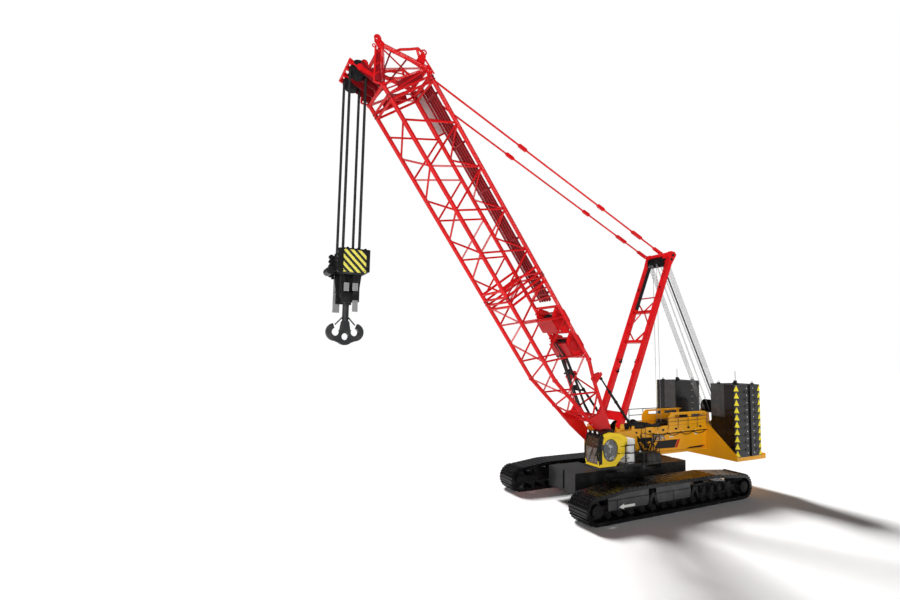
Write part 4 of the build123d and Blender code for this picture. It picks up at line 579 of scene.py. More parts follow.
for side, word in SIDES:
    out = Y_AXIS * side
    bm = bmesh.new()
    for x in END_WHEELS:
        hub = Vector((x, side * HUB_Y, WHEEL_Z))
        for radius, depth in ((0.31, 0.03), (0.2, 0.06), (0.09, 0.08)):
            disc(bm, hub, out, radius, depth)
        ring(bm, hub + out * 0.02, X_AXIS * 0.325, Z_AXIS * 0.325, 0.022)
        bolt_ring(bm, hub + out * 0.03, out, 0.255, 12, 0.024)
    for k in range(ROLLERS):
        disc(bm, (4.62 - ROLLER_STEP * k, side * 4.075, 0.37), out, 0.07, 0.05, 12)
    make(f"track_hubs_{word}", bm, SATIN_BLACK, "undercarriage", bevel=0.004)

    bm = bmesh.new()
    face = side * (COVER_Y + 0.012)
    for x0, x1 in ((4.24, 4.82), (1.89, 4.18), (-1.46, -0.07), (-0.01, 1.31)):
        slab(bm, x0, x1, side * COVER_Y, face, 0.66, 1.14)
        for x in (x0 + 0.05, (x0 + x1) / 2, x1 - 0.05):
            for z in (0.7, 1.1):
                disc(bm, (x, face, z), out, 0.018, 0.012, 6)
    for corners in COVER_TOPS:
        plate(bm, side * 4.16, side * 0.012, corners)
        for (xa, za), (xb, zb) in zip(corners[1:], corners[2:]):
            strut(bm, (xa, side * 4.172, za), (xb, side * 4.172, zb), 0.016, 6)
    make(f"track_covers_{word}", bm, COVER_GREY, "undercarriage", bevel=0.005)

    bm = bmesh.new()
    plate(bm, side * ARROW_Y, side * 0.004, ARROW)
    make(f"track_arrow_{word}", bm, SIGN_WHITE, "undercarriage")

    bm = bmesh.new()
    for x, way in zip(END_WHEELS, (1, -1)):
        for k in range(-4, 7):
            turn = k * math.radians(14.3)
            outward = Vector((way * math.cos(turn), 0, math.sin(turn)))
            along = Vector((-way * math.sin(turn), 0, math.cos(turn)))
            foot, tip = (Vector((x, side * SHOE_INNER, WHEEL_Z)) + outward * reach for reach in (0.7, 0.785))
            bar = [foot - along * 0.05, foot + along * 0.05, tip + along * 0.03, tip - along * 0.03]
            prism(bm, bar, out * SHOE_WIDTH)
    make(f"track_grousers_{word}", bm, GLOSS_BLACK, "undercarriage", bevel=0.006)

    # caps, hoses and pipes round the drive at the rear of the track frame
    bm = bmesh.new()
    for x in (-2.55, -3.25, -3.95, -4.65):
        cap = (x, side * 4.155, 0.9)
        disc(bm, cap, out, 0.15, 0.06, 18)
        bolt_ring(bm, cap, out, 0.19, 8, 0.016)
        pipe(bm, sagging((x + 0.3, side * 4.12, 1.2), (x - 0.32, side * 4.12, 1.22), 0.14, 8), 0.022)
    for x in (1.6, -1.75):
        for dx, z in ((-0.36, 0.62), (0.36, 0.62), (-0.1, 1.2), (0.1, 1.2)):
            disc(bm, (x + dx, side * 4.245, z), out, 0.03, 0.02, 6)
    make(f"track_drive_{word}", bm, SATIN_BLACK, "undercarriage", smooth=True)


# ---- Counterweight dressing
# Yellow warning triangles are glued to the outer corners of every slab, and pale reflectors stand beside
# the keyway. A grey sheet covers the front, black-brown sheets on the front and inner faces are painted
# shade, and lifting shackles and keys are of black steel.
SIGN_YELLOW = enamel("sign yellow film", (0.95, 0.78, 0.02), roughness=0.45, dust=0.02)
# near-black sheet colour that paints the shade on the stacks' front and inner faces
SHADE_SHEET_BLACK = enamel("black-brown painted shade enamel", (0.006, 0.002, 0.002), roughness=0.25, dust=0.02, coat=0.2)
SLABS = 10
STACK_FOOT, STACK_TOP = 2.25, 6.94
SLAB_RISE = (STACK_TOP - STACK_FOOT) / SLABS
STACK_OUTER, STACK_FRONT = 3.4, -7.02
DIAGONAL = 0.7071
# x and y of each triangle's middle, the direction it lies in and the one it faces, for the left stack
TRIANGLES = (((-7.105, 3.315), (-DIAGONAL, DIAGONAL), (DIAGONAL, DIAGONAL)),
             ((-9.36, STACK_OUTER), (-1, 0), (0, 1)),
             ((-9.545, 3.315), (DIAGONAL, DIAGONAL), (-DIAGONAL, DIAGONAL)))

for side, word in SIDES:
    bm, dots = bmesh.new(), bmesh.new()
    for k in range(SLABS):
        z = STACK_FOOT + SLAB_RISE * (k + 0.5)
        for rows in TRIANGLES:
            middle, across, off = (Vector((x, side * y, 0)) for x, y in rows)
            low, high = middle + Z_AXIS * (z - 0.19), middle + Z_AXIS * (z + 0.2)
            prism(bm, [low - across * 0.155, low + across * 0.155, high], off * 0.006)
        for x in (-8.05, -8.72):
            disc(dots, (x, side * STACK_OUTER, z), (0, side, 0), 0.035, 0.01, 10)
        for x in (-8.75, -8.85):
            disc(dots, (x, side * 1.475, z), (0, -side, 0), 0.03, 0.01, 10)
    make(f"slab_triangles_{word}", bm, SIGN_YELLOW, "superstructure")
    make(f"slab_reflectors_{word}", dots, SIGN_WHITE, "superstructure")

    bm, cover, sheet = bmesh.new(), bmesh.new(), bmesh.new()
    slab(cover, STACK_FRONT, -6.995, side * 1.49, side * 2.5, 4.76, 6.93)
    slab(cover, -6.997, -6.985, side * 1.52, side * 2.47, 4.8, 6.89)
    make(f"slab_cover_{word}", cover, COVER_GREY, "superstructure", bevel=0.006)
    # black-brown sheets where the front and the inner face lie in shade: painted shade
    for x0, x1, y0, y1, top in (
            (STACK_FRONT, -7.0, 1.49, 2.5, 4.72), (STACK_FRONT, -7.0, 2.54, 3.14, 6.92),
            (-8.62, -7.45, 1.482, 1.5, 6.92)):
        slab(sheet, x0, x1, side * y0, side * y1, 2.3, top)
    make(f"slab_shade_sheets_{word}", sheet, SHADE_SHEET_BLACK, "superstructure", bevel=0.004)
    for x in (-7.5, -9.2):
        for y in (1.75, 3.05):
            slab(bm, x - 0.13, x + 0.13, side * y - 0.05, side * y + 0.05, STACK_TOP, 7.02)
            turns = [math.pi * k / 8 for k in range(-1, 10)]
            pipe(bm, [(x + 0.07 * math.cos(t), side * y, 7.05 + 0.07 * math.sin(t)) for t in turns], 0.018)
    for k in range(1, SLABS):
        z = STACK_FOOT + SLAB_RISE * k
        for x in (-7.9, -8.98):
            slab(bm, x, x + 0.12, side * 3.385, side * 3.42, z - 0.09, z + 0.09)
    make(f"slab_fittings_{word}", bm, SATIN_BLACK, "superstructure", bevel=0.006)


# ---- Frame signs, rails and hoses
# Thin plates are riveted to the frame's sides: orange cover panels, blank black signs with a red
# bar, and cream plates. A tube handrail is bolted on, and rubber hoses hang beside the winches.
PANEL_ORANGE = enamel("panel orange enamel", (0.93, 0.4, 0.008), roughness=0.32, dust=0.03)
SIGN_RED = enamel("sign red film", (0.6, 0.015, 0.015), roughness=0.45, dust=0.02)
CREAM = enamel("cream film", (0.8, 0.74, 0.55), roughness=0.5, dust=0.03)
HOSE_GREY = enamel("grey hose sleeve", (0.3, 0.3, 0.31), roughness=0.6, dust=0.05)
PANEL_Y, SIGN_Y, RAIL_Y = 1.119, 1.127, 1.21
RAIL_FALL = 0.0173


def oblong(x0, x1, z0, z1):
    """Corners of an upright rectangle."""
    return [(x0, z0), (x1, z0), (x1, z1), (x0, z1)]


def flat(bm, side, y, corners, depth=0.004):
    """Thin plate on one side of the frame, from the x and z of its corners."""
    plate(bm, side * y, side * depth, corners)


for side, word in SIDES:
    panels, black, red, cream = (bmesh.new() for _ in range(4))
    flat(panels, side, PANEL_Y, [(-1.95, 2.62), (-1.6, 3.58), (-6.82, 3.7), (-6.82, 2.62)], 0.008)
    flat(panels, side, PANEL_Y, [(-0.2, 2.64), (-0.2, 3.5), (-1.3, 3.54), (-1.6, 2.64)], 0.006)
    for bm, corners in (
            (black, [(-2.23, 3.28), (-4.06, 3.29), (-3.76, 2.76), (-1.88, 2.81)]),
            (black, [(-5.17, 2.7), (-6.62, 2.755), (-6.32, 2.62), (-4.9, 2.62)]),
            (red, [(-4.09, 3.29), (-4.3, 3.29), (-4.0, 2.75), (-3.79, 2.76)]),
            (red, [(-6.65, 2.756), (-6.8, 2.76), (-6.5, 2.62), (-6.35, 2.62)])):
        flat(bm, side, SIGN_Y, corners)
    labels = [(SIGN_Y, x, z, 0.34, 0.1) for x, z in ((-2.5, 3.42), (-3.3, 3.44), (-5.7, 3.5))]
    labels += [(RAIL_Y, x, 3.8, 0.05, 0.05) for x in (-0.9, -2.1, -3.3, -4.5, -5.7)]
    for y, x, z, wide, high in labels:
        flat(cream, side, y, oblong(x, x - wide, z, z + high))
    for kind, bm, material in (
            ("panels", panels, PANEL_ORANGE), ("signs", black, SATIN_BLACK),
            ("bars", red, SIGN_RED), ("labels", cream, CREAM)):
        make(f"frame_{kind}_{word}", bm, material, "superstructure")

# black ovals on the rails paint the shade inside their holes, and hoses sag below the rails
bm = bmesh.new()
for side in (-1, 1):
    for k in range(6):
        x = -0.23 - 1.2 * k
        z = 4.13 + RAIL_FALL * (1.2 - x) - 0.225
        turns = [math.pi * j / 8 for j in range(16)]
        flat(bm, side, 1.208, [(x + 0.13 * math.cos(t), z + 0.075 * math.sin(t)) for t in turns])
    for x in (-1.75, -3.0, -4.25, -5.5):
        pipe(bm, sagging((x, side * 1.235, 3.74), (x - 1.2, side * 1.235, 3.76), 0.17, 8), 0.022)
        slab(bm, x - 0.05, x + 0.05, side * 1.13, side * 1.26, 3.7, 3.8)
    # straight black tube under the rail, a painted shadow line
    pipe(bm, [(-1.6, side * 1.225, 3.69), (-6.85, side * 1.225, 3.79)], 0.03)
make("frame_harness_and_shade", bm, SATIN_BLACK, "superstructure", smooth=True)

# handrail of thin tube on the left rail, with a ladder at its front
HANDRAIL_FRONT, HANDRAIL_Y, HANDRAIL_FOOT = -2.07, 1.3, 4.19
bm = bmesh.new()
for rise in (0.5, 0.26):
    pipe(bm, [(HANDRAIL_FRONT, HANDRAIL_Y, HANDRAIL_FOOT + rise), (-6.8, HANDRAIL_Y, 4.27 + rise)], 0.014)
for k in range(6):
    x = HANDRAIL_FRONT - 0.946 * k
    top = HANDRAIL_FOOT - RAIL_FALL * (x - HANDRAIL_FRONT) + 0.5
    pipe(bm, [(x, 1.225, 4.0), (x, HANDRAIL_Y, 4.05), (x, HANDRAIL_Y, top)], 0.014)
for x in (-0.55, -0.9):
    pipe(bm, [(x, 1.36, 2.9), (x, 1.36, 4.45), (x - 0.2, HANDRAIL_Y, 4.6)], 0.016)
for z in (3.0, 3.3, 3.6, 3.9, 4.2):
    pipe(bm, [(-0.55, 1.36, z), (-0.9, 1.36, z)], 0.014)
make("frame_handrail", bm, RAIL_GREY, "superstructure", smooth=True)


def hose_bundle(bm, rows, radius):
    """Hoses along the frame, from the x and z of both ends of each, its sag and its place across."""
    for x0, z0, x1, z1, drop, y in rows:
        pipe(bm, sagging((x0, y, z0), (x1, y, z1), drop), radius)


bm = bmesh.new()
hose_bundle(bm, (
    (-0.35, 3.5, -1.2, 3.4, 0.55, 1.24), (-0.45, 3.3, -1.0, 3.5, 0.75, 1.29), (-0.5, 3.1, -1.5, 3.2, 0.4, 1.26),
    (-0.7, 3.5, -1.7, 3.1, 0.35, 1.31), (-0.9, 3.2, -1.6, 3.4, 0.62, 1.22), (-0.4, 2.9, -1.7, 3.0, 0.2, 1.27),
    (-0.3, 3.7, -1.4, 3.0, 0.1, 1.24), (-0.6, 3.8, -1.8, 3.5, 0.5, 1.21), (-1.0, 3.0, -1.9, 3.6, 0.25, 1.3),
    (-0.3, 2.8, -0.9, 3.6, 0.3, 1.22), (-1.2, 2.9, -2.0, 2.8, 0.15, 1.25)), 0.04)
for x in (-0.5, -0.75, -1.0, -1.25, -1.5):
    slab(bm, x - 0.09, x + 0.09, 1.12, 1.24, 3.34, 3.56)
    disc(bm, (x, 1.24, 3.45), (0, 1, 0), 0.05, 0.05, 8)
make("frame_hoses", bm, SATIN_BLACK, "superstructure", smooth=True)

for name, material, radius, rows in (
        ("frame_hose_arches", HOSE_GREY, 0.03,
         ((-1.57, 3.38, -2.1, 3.38, -0.3, 1.25), (-1.9, 3.36, -2.4, 3.36, -0.34, 1.28),
          (-2.25, 3.34, -2.74, 3.34, -0.28, 1.25), (-0.6, 2.72, -1.3, 2.72, 0.2, 1.33))),
        ("frame_hose_orange", PANEL_ORANGE, 0.022,
         ((-0.62, 3.25, -1.36, 3.2, 0.5, 1.34), (-0.8, 2.95, -1.5, 3.0, 0.28, 1.36)))):
    bm = bmesh.new()
    hose_bundle(bm, rows, radius)
    make(name, bm, material, "superstructure", smooth=True)


# ---- Cab trim
# Rubber gaskets and dark glazed bands frame the panes, a visor with three round lamps shades the
# windscreen, and wipers, a mirror and grab rails of tube are bolted to the shell and the cabinet.
RUBBER = enamel("black rubber", (0.01, 0.01, 0.01), roughness=0.7, dust=0.1, peel=0.2)
LAMP_GLASS = tinted_glass("lamp glass", (0.85, 0.85, 0.82), 1.0)
PANE_X, PANE_Z, PANE_RADII = 3.17, 3.35, (X_AXIS * 0.545, Z_AXIS * 0.615)
VISOR_LAMPS_Y, VISOR_LAMPS_Z = (1.62, 2.01, 2.4), 4.35
WORK_LAMPS = ((1.9, 1.3, 3.78), (0.9, 2.62, 3.12))
CORNER_GLASS = [(3.8, 2.62), (3.965, 2.62), (4.062, 2.95), (4.042, 3.48), (3.885, 4.02), (3.72, 4.18),
                (3.66, 4.08), (3.8, 3.7)]
CORNER_TOP = [(3.7, 4.2), (3.74, 4.15), (3.92, 3.99), (3.95, 4.02)]
CORNER_FRONT = [(3.955, 2.6), (4.072, 2.9), (4.052, 3.5), (3.892, 4.045), (3.7, 4.25)]

bm = bmesh.new()
ring(bm, (PANE_X, 2.603, PANE_Z), *PANE_RADII, 0.018)
slab(bm, 2.5, 2.62, 2.6, 2.64, 3.1, 3.16)
make("door_gasket", bm, RUBBER, "cab_door", smooth=True)

bm = bmesh.new()
ring(bm, (PANE_X, 1.417, PANE_Z), *PANE_RADII, 0.018)
for y in (1.43, 2.59):
    pipe(bm, [(3.72, y, 4.2), (3.89, y, 4.03), (4.045, y, 3.5), (4.065, y, 2.9), (3.97, y, 2.55)], 0.022)
pipe(bm, [(3.965, 1.53, 2.6), (3.965, 2.49, 2.6)], 0.018)
for y in (1.75, 2.15):
    pipe(bm, [(4.04, y, 2.66), (4.095, y + 0.105, 2.95), (4.085, y + 0.35, 3.42)], 0.01)
    pipe(bm, [(4.1, y + 0.23, 3.05), (4.075, y + 0.4, 3.55)], 0.014)
make("cab_gaskets", bm, RUBBER, "superstructure", smooth=True)

bm = bmesh.new()
for y in (1.408, 2.601):
    plate(bm, y, 0.012, CORNER_GLASS)
    plate(bm, y, 0.012, CORNER_TOP)
for y in (2.485, 1.414):
    plate(bm, y, 0.121, CORNER_FRONT + [(x + 0.022, z + 0.006) for x, z in CORNER_FRONT[::-1]])
make("cab_corner_glass", bm, RUBBER, "superstructure", bevel=0.003)

bm = bmesh.new()
plate(bm, 1.5, 1.02, [(3.72, 4.262), (4.06, 4.12), (4.07, 4.15), (3.74, 4.32), (3.3, 4.4), (3.28, 4.352)])
for y in VISOR_LAMPS_Y:
    disc(bm, (3.86, y, VISOR_LAMPS_Z), X_AXIS, 0.085, 0.11, 20)
    slab(bm, 3.86, 3.92, y - 0.02, y + 0.02, 4.22, 4.32)
slab(bm, 2.55, 3.1, 1.75, 2.25, 4.31, 4.42)
make("cab_visor", bm, SATIN_BLACK, "superstructure", bevel=0.008)

bm = bmesh.new()
for place in [(3.968, y, VISOR_LAMPS_Z) for y in VISOR_LAMPS_Y] + list(WORK_LAMPS):
    disc(bm, place, X_AXIS, 0.07, 0.012, 20)
make("cab_lamps", bm, LAMP_GLASS, "superstructure", smooth=True)

bm = bmesh.new()
for z in (3.52, 3.14, 2.82):
    pipe(bm, [(1.75, 2.5, z), (1.75, 2.64, z), (2.3, 2.66, z), (2.42, 2.63, z)], 0.014)
pipe(bm, [(2.02, 2.61, 2.6), (2.02, 2.66, 2.66), (2.02, 2.66, 3.7), (2.02, 2.61, 3.78)], 0.016)
pipe(bm, [(3.9, 2.6, 3.98), (3.98, 2.86, 4.0), (3.98, 2.86, 3.72)], 0.014)
slab(bm, 3.955, 3.985, 2.76, 2.94, 3.42, 3.76)
for x, y, z in WORK_LAMPS:
    disc(bm, (x - 0.11, y, z), X_AXIS, 0.085, 0.11, 16)
pipe(bm, [(1.84, 1.22, 3.6), (1.84, 1.3, 3.7)], 0.016)
for z in (2.62, 3.0, 3.4):
    pipe(bm, [(1.13, 2.46, z), (1.06, 2.5, z), (1.06, 2.5, z + 0.28), (1.13, 2.46, z + 0.28)], 0.012)
slab(bm, 1.09, 1.148, 2.3, 2.4, 2.5, 3.8)
make("cab_rails", bm, RAIL_GREY, "superstructure", smooth=True)

bm = bmesh.new()
for z in (2.62, 3.2):
    for y in (1.8, 2.12):
        slab(bm, 1.69, 1.698, y, y + 0.28, z, z + 0.52)
for x in (1.22, 1.46):
    slab(bm, x, x + 0.18, 2.45, 2.458, 2.56, 3.76)
    for z in (2.8, 3.2, 3.6):
        slab(bm, x + 0.03, x + 0.15, 2.456, 2.464, z - 0.05, z - 0.03)
make("cabinet_doors", bm, CABINET_WHITE, "superstructure", bevel=0.004)


# ---- Boom dressing
# Steel rings, tubes, a guard bar in front of the hoist sheaves, winch frames and a blank name board
# are bolted to the welded lattice. Hoses hang inside it, and rope lies in even turns on the drums.
BOARD_WHITE = enamel("board white enamel", (0.7, 0.62, 0.6), roughness=0.45, dust=0.05)
BOOM_FOOT = on_boom(0, 0, 0)
BOOM_ALONG, BOOM_UP = on_boom(1, 0, 0) - BOOM_FOOT, on_boom(0, 1, 0) - BOOM_FOOT
BOOM_SIDE, CHORD_N = 1.21, 1.37
ARMS_FROM, ARMS_BELOW = 22.9, -0.85
GUARD_S, GUARD_N = 24.43, -2.14
JOINTS = (10.2, 22.2)
DRUMS = (5.35, 7.15)


def boom_bar(bm, a, b, radius, sides=10, place=on_boom):
    """Round bar between two points of an arm, each from its s, n and y."""
    strut(bm, place(*a), place(*b), radius, sides)


def boom_plate(bm, corners, y0, y1):
    """Plate across the boom from the s and n of its corners."""
    prism(bm, [on_boom(s, n, y0) for s, n in corners], (0, y1 - y0, 0))


def coils(bm, centre, u, half_length, wire):
    """Even turns of rope round a drum that lies across the crane; u is a radius of the turns."""
    for k in range(int(half_length / wire)):
        middle = Vector(centre) + Y_AXIS * (-half_length + (k + 0.5) * 2 * wire)
        ring(bm, middle, u, Y_AXIS.cross(u), wire, count=24)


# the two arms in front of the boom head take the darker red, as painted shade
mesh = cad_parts["boom_head"].data
mesh.materials.append(SHADED_RED)
for face in mesh.polygons:
    reach = face.center - BOOM_FOOT
    if reach.dot(BOOM_ALONG) > ARMS_FROM and reach.dot(BOOM_UP) < ARMS_BELOW:
        face.material_index = 1

bm = bmesh.new()
for side in (-1, 1):
    y = side * BOOM_SIDE
    for s, n, radius, thickness in (
            (24.92, -0.3, 0.15, 0.045), (24.66, -0.7, 0.075, 0.03), (23.5, 1.72, 0.12, 0.04)):
        ring(bm, on_boom(s, n, y), BOOM_ALONG * radius, BOOM_UP * radius, thickness)
    for s0, n0, y0, s1, n1, y1, radius in (
            (23.42, 1.55, BOOM_SIDE, 22.35, 1.62, BOOM_SIDE, 0.045),
            (24.5, -0.35, 1.02, 22.84, -1.2, 1.02, 0.045),
            (24.45, -0.2, 0.95, 23.3, 0.85, 0.15, 0.04), (22.9, 0.95, 0.1, 23.25, -1.0, 0.9, 0.04)):
        boom_bar(bm, (s0, n0, side * y0), (s1, n1, side * y1), radius)
    # hub of the sheaves and the arm that holds it
    outer = side * 0.995
    disc(bm, on_boom(24.03, -1.88, outer), Y_AXIS * side, 0.17, 0.04)
    boom_plate(bm, [(23.95, -1.98), (24.12, -1.8), (23.22, -1.22), (23.1, -1.34)], outer, outer + side * 0.03)
# guard bar across the front of both groups of sheaves
boom_bar(bm, (24.5, -2.16, 1.1), (24.49, -2.2, -1.1), 0.06, 14)
for y in (-0.95, -0.35, 0.35, 0.95):
    boom_bar(bm, (GUARD_S, GUARD_N, y - 0.04), (GUARD_S, GUARD_N, y + 0.04), 0.14, 14)
    boom_bar(bm, (GUARD_S, GUARD_N, y), (23.95, -1.88, y), 0.04, 8)
# tube below each arm, with its stays
for side in (-1, 1):
    y = side * BOOM_SIDE
    boom_bar(bm, (24.62, -0.62, y), (23.12, -1.72, y), 0.055)
    for s, n in ((24.3, -0.83), (23.8, -1.2), (23.4, -1.5)):
        boom_bar(bm, (s, n, y), (s + 0.06, n + 0.32, y), 0.035, 8)
    boom_bar(bm, (23.12, -1.72, y), (22.84, -1.37, y), 0.055)
# arched tube and stays of the rear horn
for line in ([(24.07, 0.12), (24.08, 0.57), (23.92, 1.11), (23.82, 1.57), (23.46, 1.73)],
             [(23.64, 0.6), (23.16, 0.99), (22.74, 1.24)],
             [(23.79, 1.48), (23.26, 1.33), (22.83, 1.3)]):
    for y in (1.12, -1.12):
        pipe(bm, [on_boom(s, n, y) for s, n in line], 0.07)
make("boom_head_fittings", bm, BOOM_RED, "boom", smooth=True)

# plates and cross struts of the head, in the darker red of painted shade
bm = bmesh.new()
for side in (-1, 1):
    y = side * 1.2
    boom_plate(bm, [(22.72, -0.62), (22.76, 0.98), (22.3, 0.86), (22.26, -0.76)], y - 0.015, y + 0.015)
    boom_plate(bm, [(24.3, -0.55), (24.5, -0.72), (23.2, -1.62), (23.0, -1.42)], y - 0.012, y + 0.012)
for a, b in (((23.6, 0.8, -1.1), (22.9, -1.2, 0.9)), ((23.6, 0.8, 1.1), (22.9, -1.2, -0.9)),
             ((24.2, 0.1, 1.1), (23.2, -0.9, -0.6)), ((22.3, -1.3, 1.1), (22.4, 1.2, -0.9)),
             ((24.4, -0.2, 0.5), (23.3, -1.1, 0.5)), ((24.4, -0.2, -0.5), (23.3, -1.1, -0.5))):
    boom_bar(bm, a, b, 0.045, 8)
make("boom_head_plate", bm, SHADED_RED, "boom", bevel=0.004)

# blank name board on the far side, in a frame of four strips that stand out by a lip
BOARD_OUTER, BOARD_INNER, LIP = -1.34, -1.325, 0.012
board, strips = bmesh.new(), bmesh.new()
boom_plate(board, oblong(19.9, 22.5, 1.36, 1.97), BOARD_OUTER, BOARD_INNER)
for s0, s1, n0, n1 in (
        (19.8, 22.6, 1.28, 1.36), (19.8, 22.6, 1.97, 2.05), (19.8, 19.9, 1.3, 2.03), (22.5, 22.6, 1.3, 2.03)):
    boom_plate(strips, oblong(s0, s1, n0, n1), BOARD_OUTER - LIP, BOARD_INNER + LIP)
make("boom_boards", board, BOARD_WHITE, "boom")
make("boom_board_frames", strips, BOOM_RED, "boom", bevel=0.006)

# pins at the section joints, in the darker red of painted shade
bm = bmesh.new()
for s in JOINTS:
    for n in (-CHORD_N, CHORD_N):
        for side in (-1, 1):
            y = side * BOOM_SIDE
            boom_bar(bm, (s, n, y - 0.17), (s, n, y + 0.17), 0.05, 12)
            for ds in (-0.09, 0.09):
                boom_bar(bm, (s + ds - 0.025, n, y), (s + ds + 0.025, n, y), 0.145, 20)
make("boom_joint_pins", bm, SHADED_RED, "boom", smooth=True)

bm = bmesh.new()
for y, n0, n1 in (
        (-0.55, 1.05, 0.35), (-0.4, 1.15, 0.3), (-0.25, 0.95, 0.25), (0.0, 1.05, 0.45), (0.15, 0.85, 0.3)):
    line = [(5.9, n0 - 0.22), (5.0, n0 - 0.18), (4.0, (n0 + n1) / 2), (3.0, n1 + 0.12), (1.6, n1 - 0.1),
            (0.6, n1 - 0.2)]
    pipe(bm, [on_boom(s, n, y + 0.05 * math.sin(3 * s)) for s, n in line], 0.055)
for s, n in ((4.9, 0.75), (3.7, 0.6), (2.6, 0.45)):
    boom_bar(bm, (s, n, -0.75), (s, n, 0.45), 0.06, 8)
    boom_bar(bm, (s, n, -0.3), (s + 0.25, n + 0.1, -0.3), 0.12)
make("boom_hoses", bm, SATIN_BLACK, "boom", smooth=True)

# thick cross tubes beside the joint between foot and insert
bm = bmesh.new()
for s in (9.75, 10.75):
    for y in (-BOOM_SIDE, BOOM_SIDE):
        boom_bar(bm, (s, -CHORD_N, y), (s, CHORD_N, y), 0.075)
    boom_bar(bm, (s, -CHORD_N, -BOOM_SIDE), (s, -CHORD_N, BOOM_SIDE), 0.075)
make("boom_joint_tubes", bm, BOOM_RED, "boom", smooth=True)

# brackets and motors of the winches between the rear tubes
bm = bmesh.new()
for s in DRUMS:
    for y in (-0.78, 0.78):
        disc(bm, on_boom(s, 1.3, y), Y_AXIS, 0.38, 0.05)
        disc(bm, on_boom(s, 1.3, y * 1.06), Y_AXIS, 0.2, 0.04)
    boom_plate(bm, [(s - 0.5, 0.72), (s + 0.5, 0.72), (s + 0.42, 0.98), (s - 0.42, 0.98)], -0.8, 0.8)
    disc(bm, on_boom(s + 0.1, 1.2, 0.4), Y_AXIS, 0.3, 0.55)
    boom_bar(bm, (s + 0.62, 1.15, -1.15), (s + 0.55, 1.25, 1.15), 0.06, 8)
for s, n in ((8.6, 1.3), (9.2, 1.22)):
    boom_bar(bm, (s, n, -1.18), (s + 0.2, n, 1.18), 0.06, 8)
make("boom_winch_frames", bm, WINCH_RED, "boom", bevel=0.01)

bm = bmesh.new()
for s in DRUMS:
    coils(bm, on_boom(s, 1.37, -0.2), BOOM_ALONG * 0.345, 0.4, 0.024)
make("boom_drum_rope", bm, BLACK_ROPE, "boom", smooth=True)

bm = bmesh.new()
for x, z, half, radius in ((-0.7, 3.9, 0.34, 0.415), (-2.2, 3.9, 0.34, 0.415), (1.05, 3.25, 0.24, 0.315)):
    coils(bm, (x, 0, z), X_AXIS * radius, half, 0.022)
make("frame_drum_rope", bm, BLACK_ROPE, "superstructure", smooth=True)


# ---- Mast dressing
# Flat link plates join each pendant to the mast head, and hoses, clamps and small lugs follow the
# legs. Sleeves and clamp rings sit on the backstops, and flat steel links join the pendants.
MAST_SIDE, PENDANT_SIDE = 0.93, 0.71
LUG_SHAPE = ((-0.16, -0.28), (0.16, 0.27))
BACKSTOP_FOOT = Vector((0.12, 0, 4.3))
mast_bar = partial(boom_bar, place=on_mast)
BACKSTOP_ALONG = Vector((0.636350604, 0, 0.771399967))

bm = bmesh.new()
end = on_mast(12.1, -0.2, 0)
for side in (-1, 1):
    for off in (-0.075, 0.055):
        plate(bm, side * PENDANT_SIDE + off, 0.02,
              [(-3.46, 15.67), (-3.46, 15.43), (end.x, end.z - 0.14), (end.x - 0.1, end.z + 0.12)])
make("mast_links", bm, BOOM_RED, "mast", bevel=0.004)

bm = bmesh.new()
for side in (-1, 1):
    for s, n in ((11.9, 0.02), (12.25, 0.05)):
        disc(bm, on_mast(s, n, side * (MAST_SIDE + 0.16)), (0, side, 0), 0.1, 0.012, 24)
        disc(bm, on_mast(s, n, side * (MAST_SIDE - 0.16)), (0, -side, 0), 0.1, 0.012, 24)
    for s in (3.55, 4.25):
        mast_bar(bm, (s, 0.0, side * 0.76), (s + 0.02, 0.0, side * 0.6), 0.07)
        mast_bar(bm, (s, 0.0, side * 0.63), (s + 0.22, 0.0, side * 0.63), 0.045)
    mast_bar(bm, (9.6, -0.16, side * MAST_SIDE), (9.75, -0.16, side * MAST_SIDE), 0.05, 8)
    for y in (0.8, 0.86):
        pipe(bm, [on_mast(s, 0.18, side * y) for s in (0.6, 5.0, 7.8)], 0.018)
make("mast_hoses", bm, SATIN_BLACK, "mast", smooth=True)

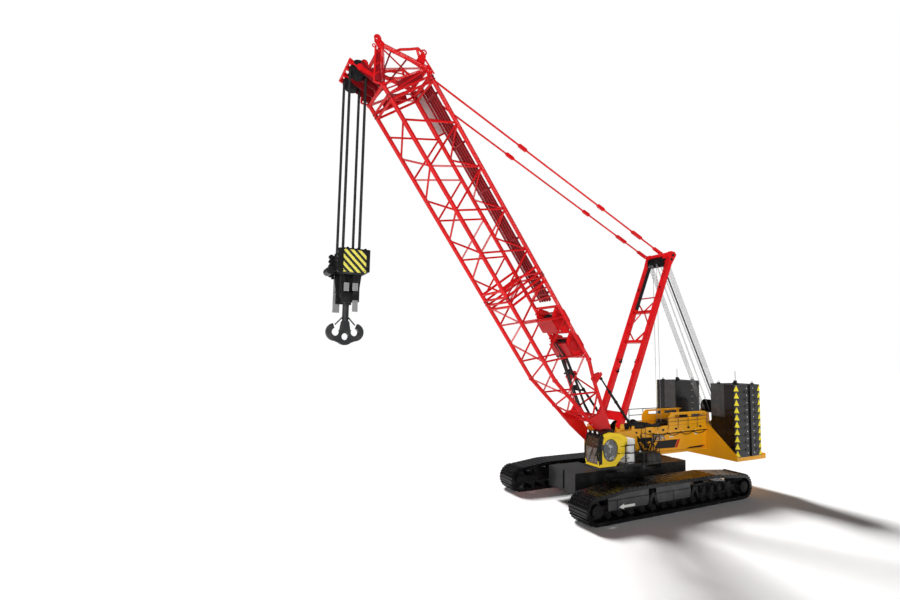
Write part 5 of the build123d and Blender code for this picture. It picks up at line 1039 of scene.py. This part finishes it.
bm = bmesh.new()
for side in (-1, 1):
    y = side * MAST_SIDE - 0.03
    for s in (2.2, 4.4, 7.0, 9.6, 10.8):
        for n0, n1 in LUG_SHAPE:
            prism(bm, [on_mast(s - 0.1, n0, y), on_mast(s + 0.1, n0, y), on_mast(s, n1, y)], (0, 0.06, 0))
    mast_bar(bm, (7.88, 0, side * 0.12), (6.95, 0, side * 0.78), 0.045)
    mast_bar(bm, (5.8, 0.05, side * 0.1), (6.55, 0.05, side * 0.78), 0.03, 8)
make("mast_lugs", bm, BOOM_RED, "mast", bevel=0.004)

# rubber sleeves on the ends of the backstop rods, and clamp rings round the barrels
for side, word in SIDES:
    foot = BACKSTOP_FOOT + Y_AXIS * (side * BOOM_SIDE)
    sleeve, rings = bmesh.new(), bmesh.new()
    for s0, s1, radius in ((3.86, 4.02, 0.075), (3.88, 3.92, 0.1)):
        strut(sleeve, foot + BACKSTOP_ALONG * s0, foot + BACKSTOP_ALONG * s1, radius, 16)
    make(f"backstop_sleeve_{word}", sleeve, SATIN_BLACK, f"backstop_rod_{word}", smooth=True)
    for s in (0.45, 1.25, 2.05, 2.86):
        strut(rings, foot + BACKSTOP_ALONG * (s - 0.045), foot + BACKSTOP_ALONG * (s + 0.045), 0.105, 20)
    make(f"backstop_rings_{word}", rings, SATIN_BLACK, f"backstop_barrel_{word}", smooth=True)

# long flat links at the joints of the pendants; the outline is in shares of half length and width
PENDANT_START = on_boom(22.35, 1.66, 0)
PENDANT_ALONG = (Vector((-3.86, 0, 15.45)) - PENDANT_START).normalized()
PENDANT_UP = Vector((-PENDANT_ALONG.z, 0, PENDANT_ALONG.x))
LINK_SHAPE = ((-1, 0.35), (-0.8, 1), (0.8, 1), (1, 0.35), (1, -0.35), (0.8, -1), (-0.8, -1), (-1, -0.35))
bm = bmesh.new()
for side in (-1, 1):
    for s, half, wide in ((16.27, 0.5, 0.095), (18.35, 0.42, 0.09)):
        for off in (-0.085, 0.045):
            middle = PENDANT_START + PENDANT_ALONG * s + Y_AXIS * (side * PENDANT_SIDE + off)
            corners = [middle + PENDANT_ALONG * a * half + PENDANT_UP * b * wide for a, b in LINK_SHAPE]
            prism(bm, corners, (0, 0.04, 0))
make("pendant_links", bm, BOOM_RED, "pendants", bevel=0.006)
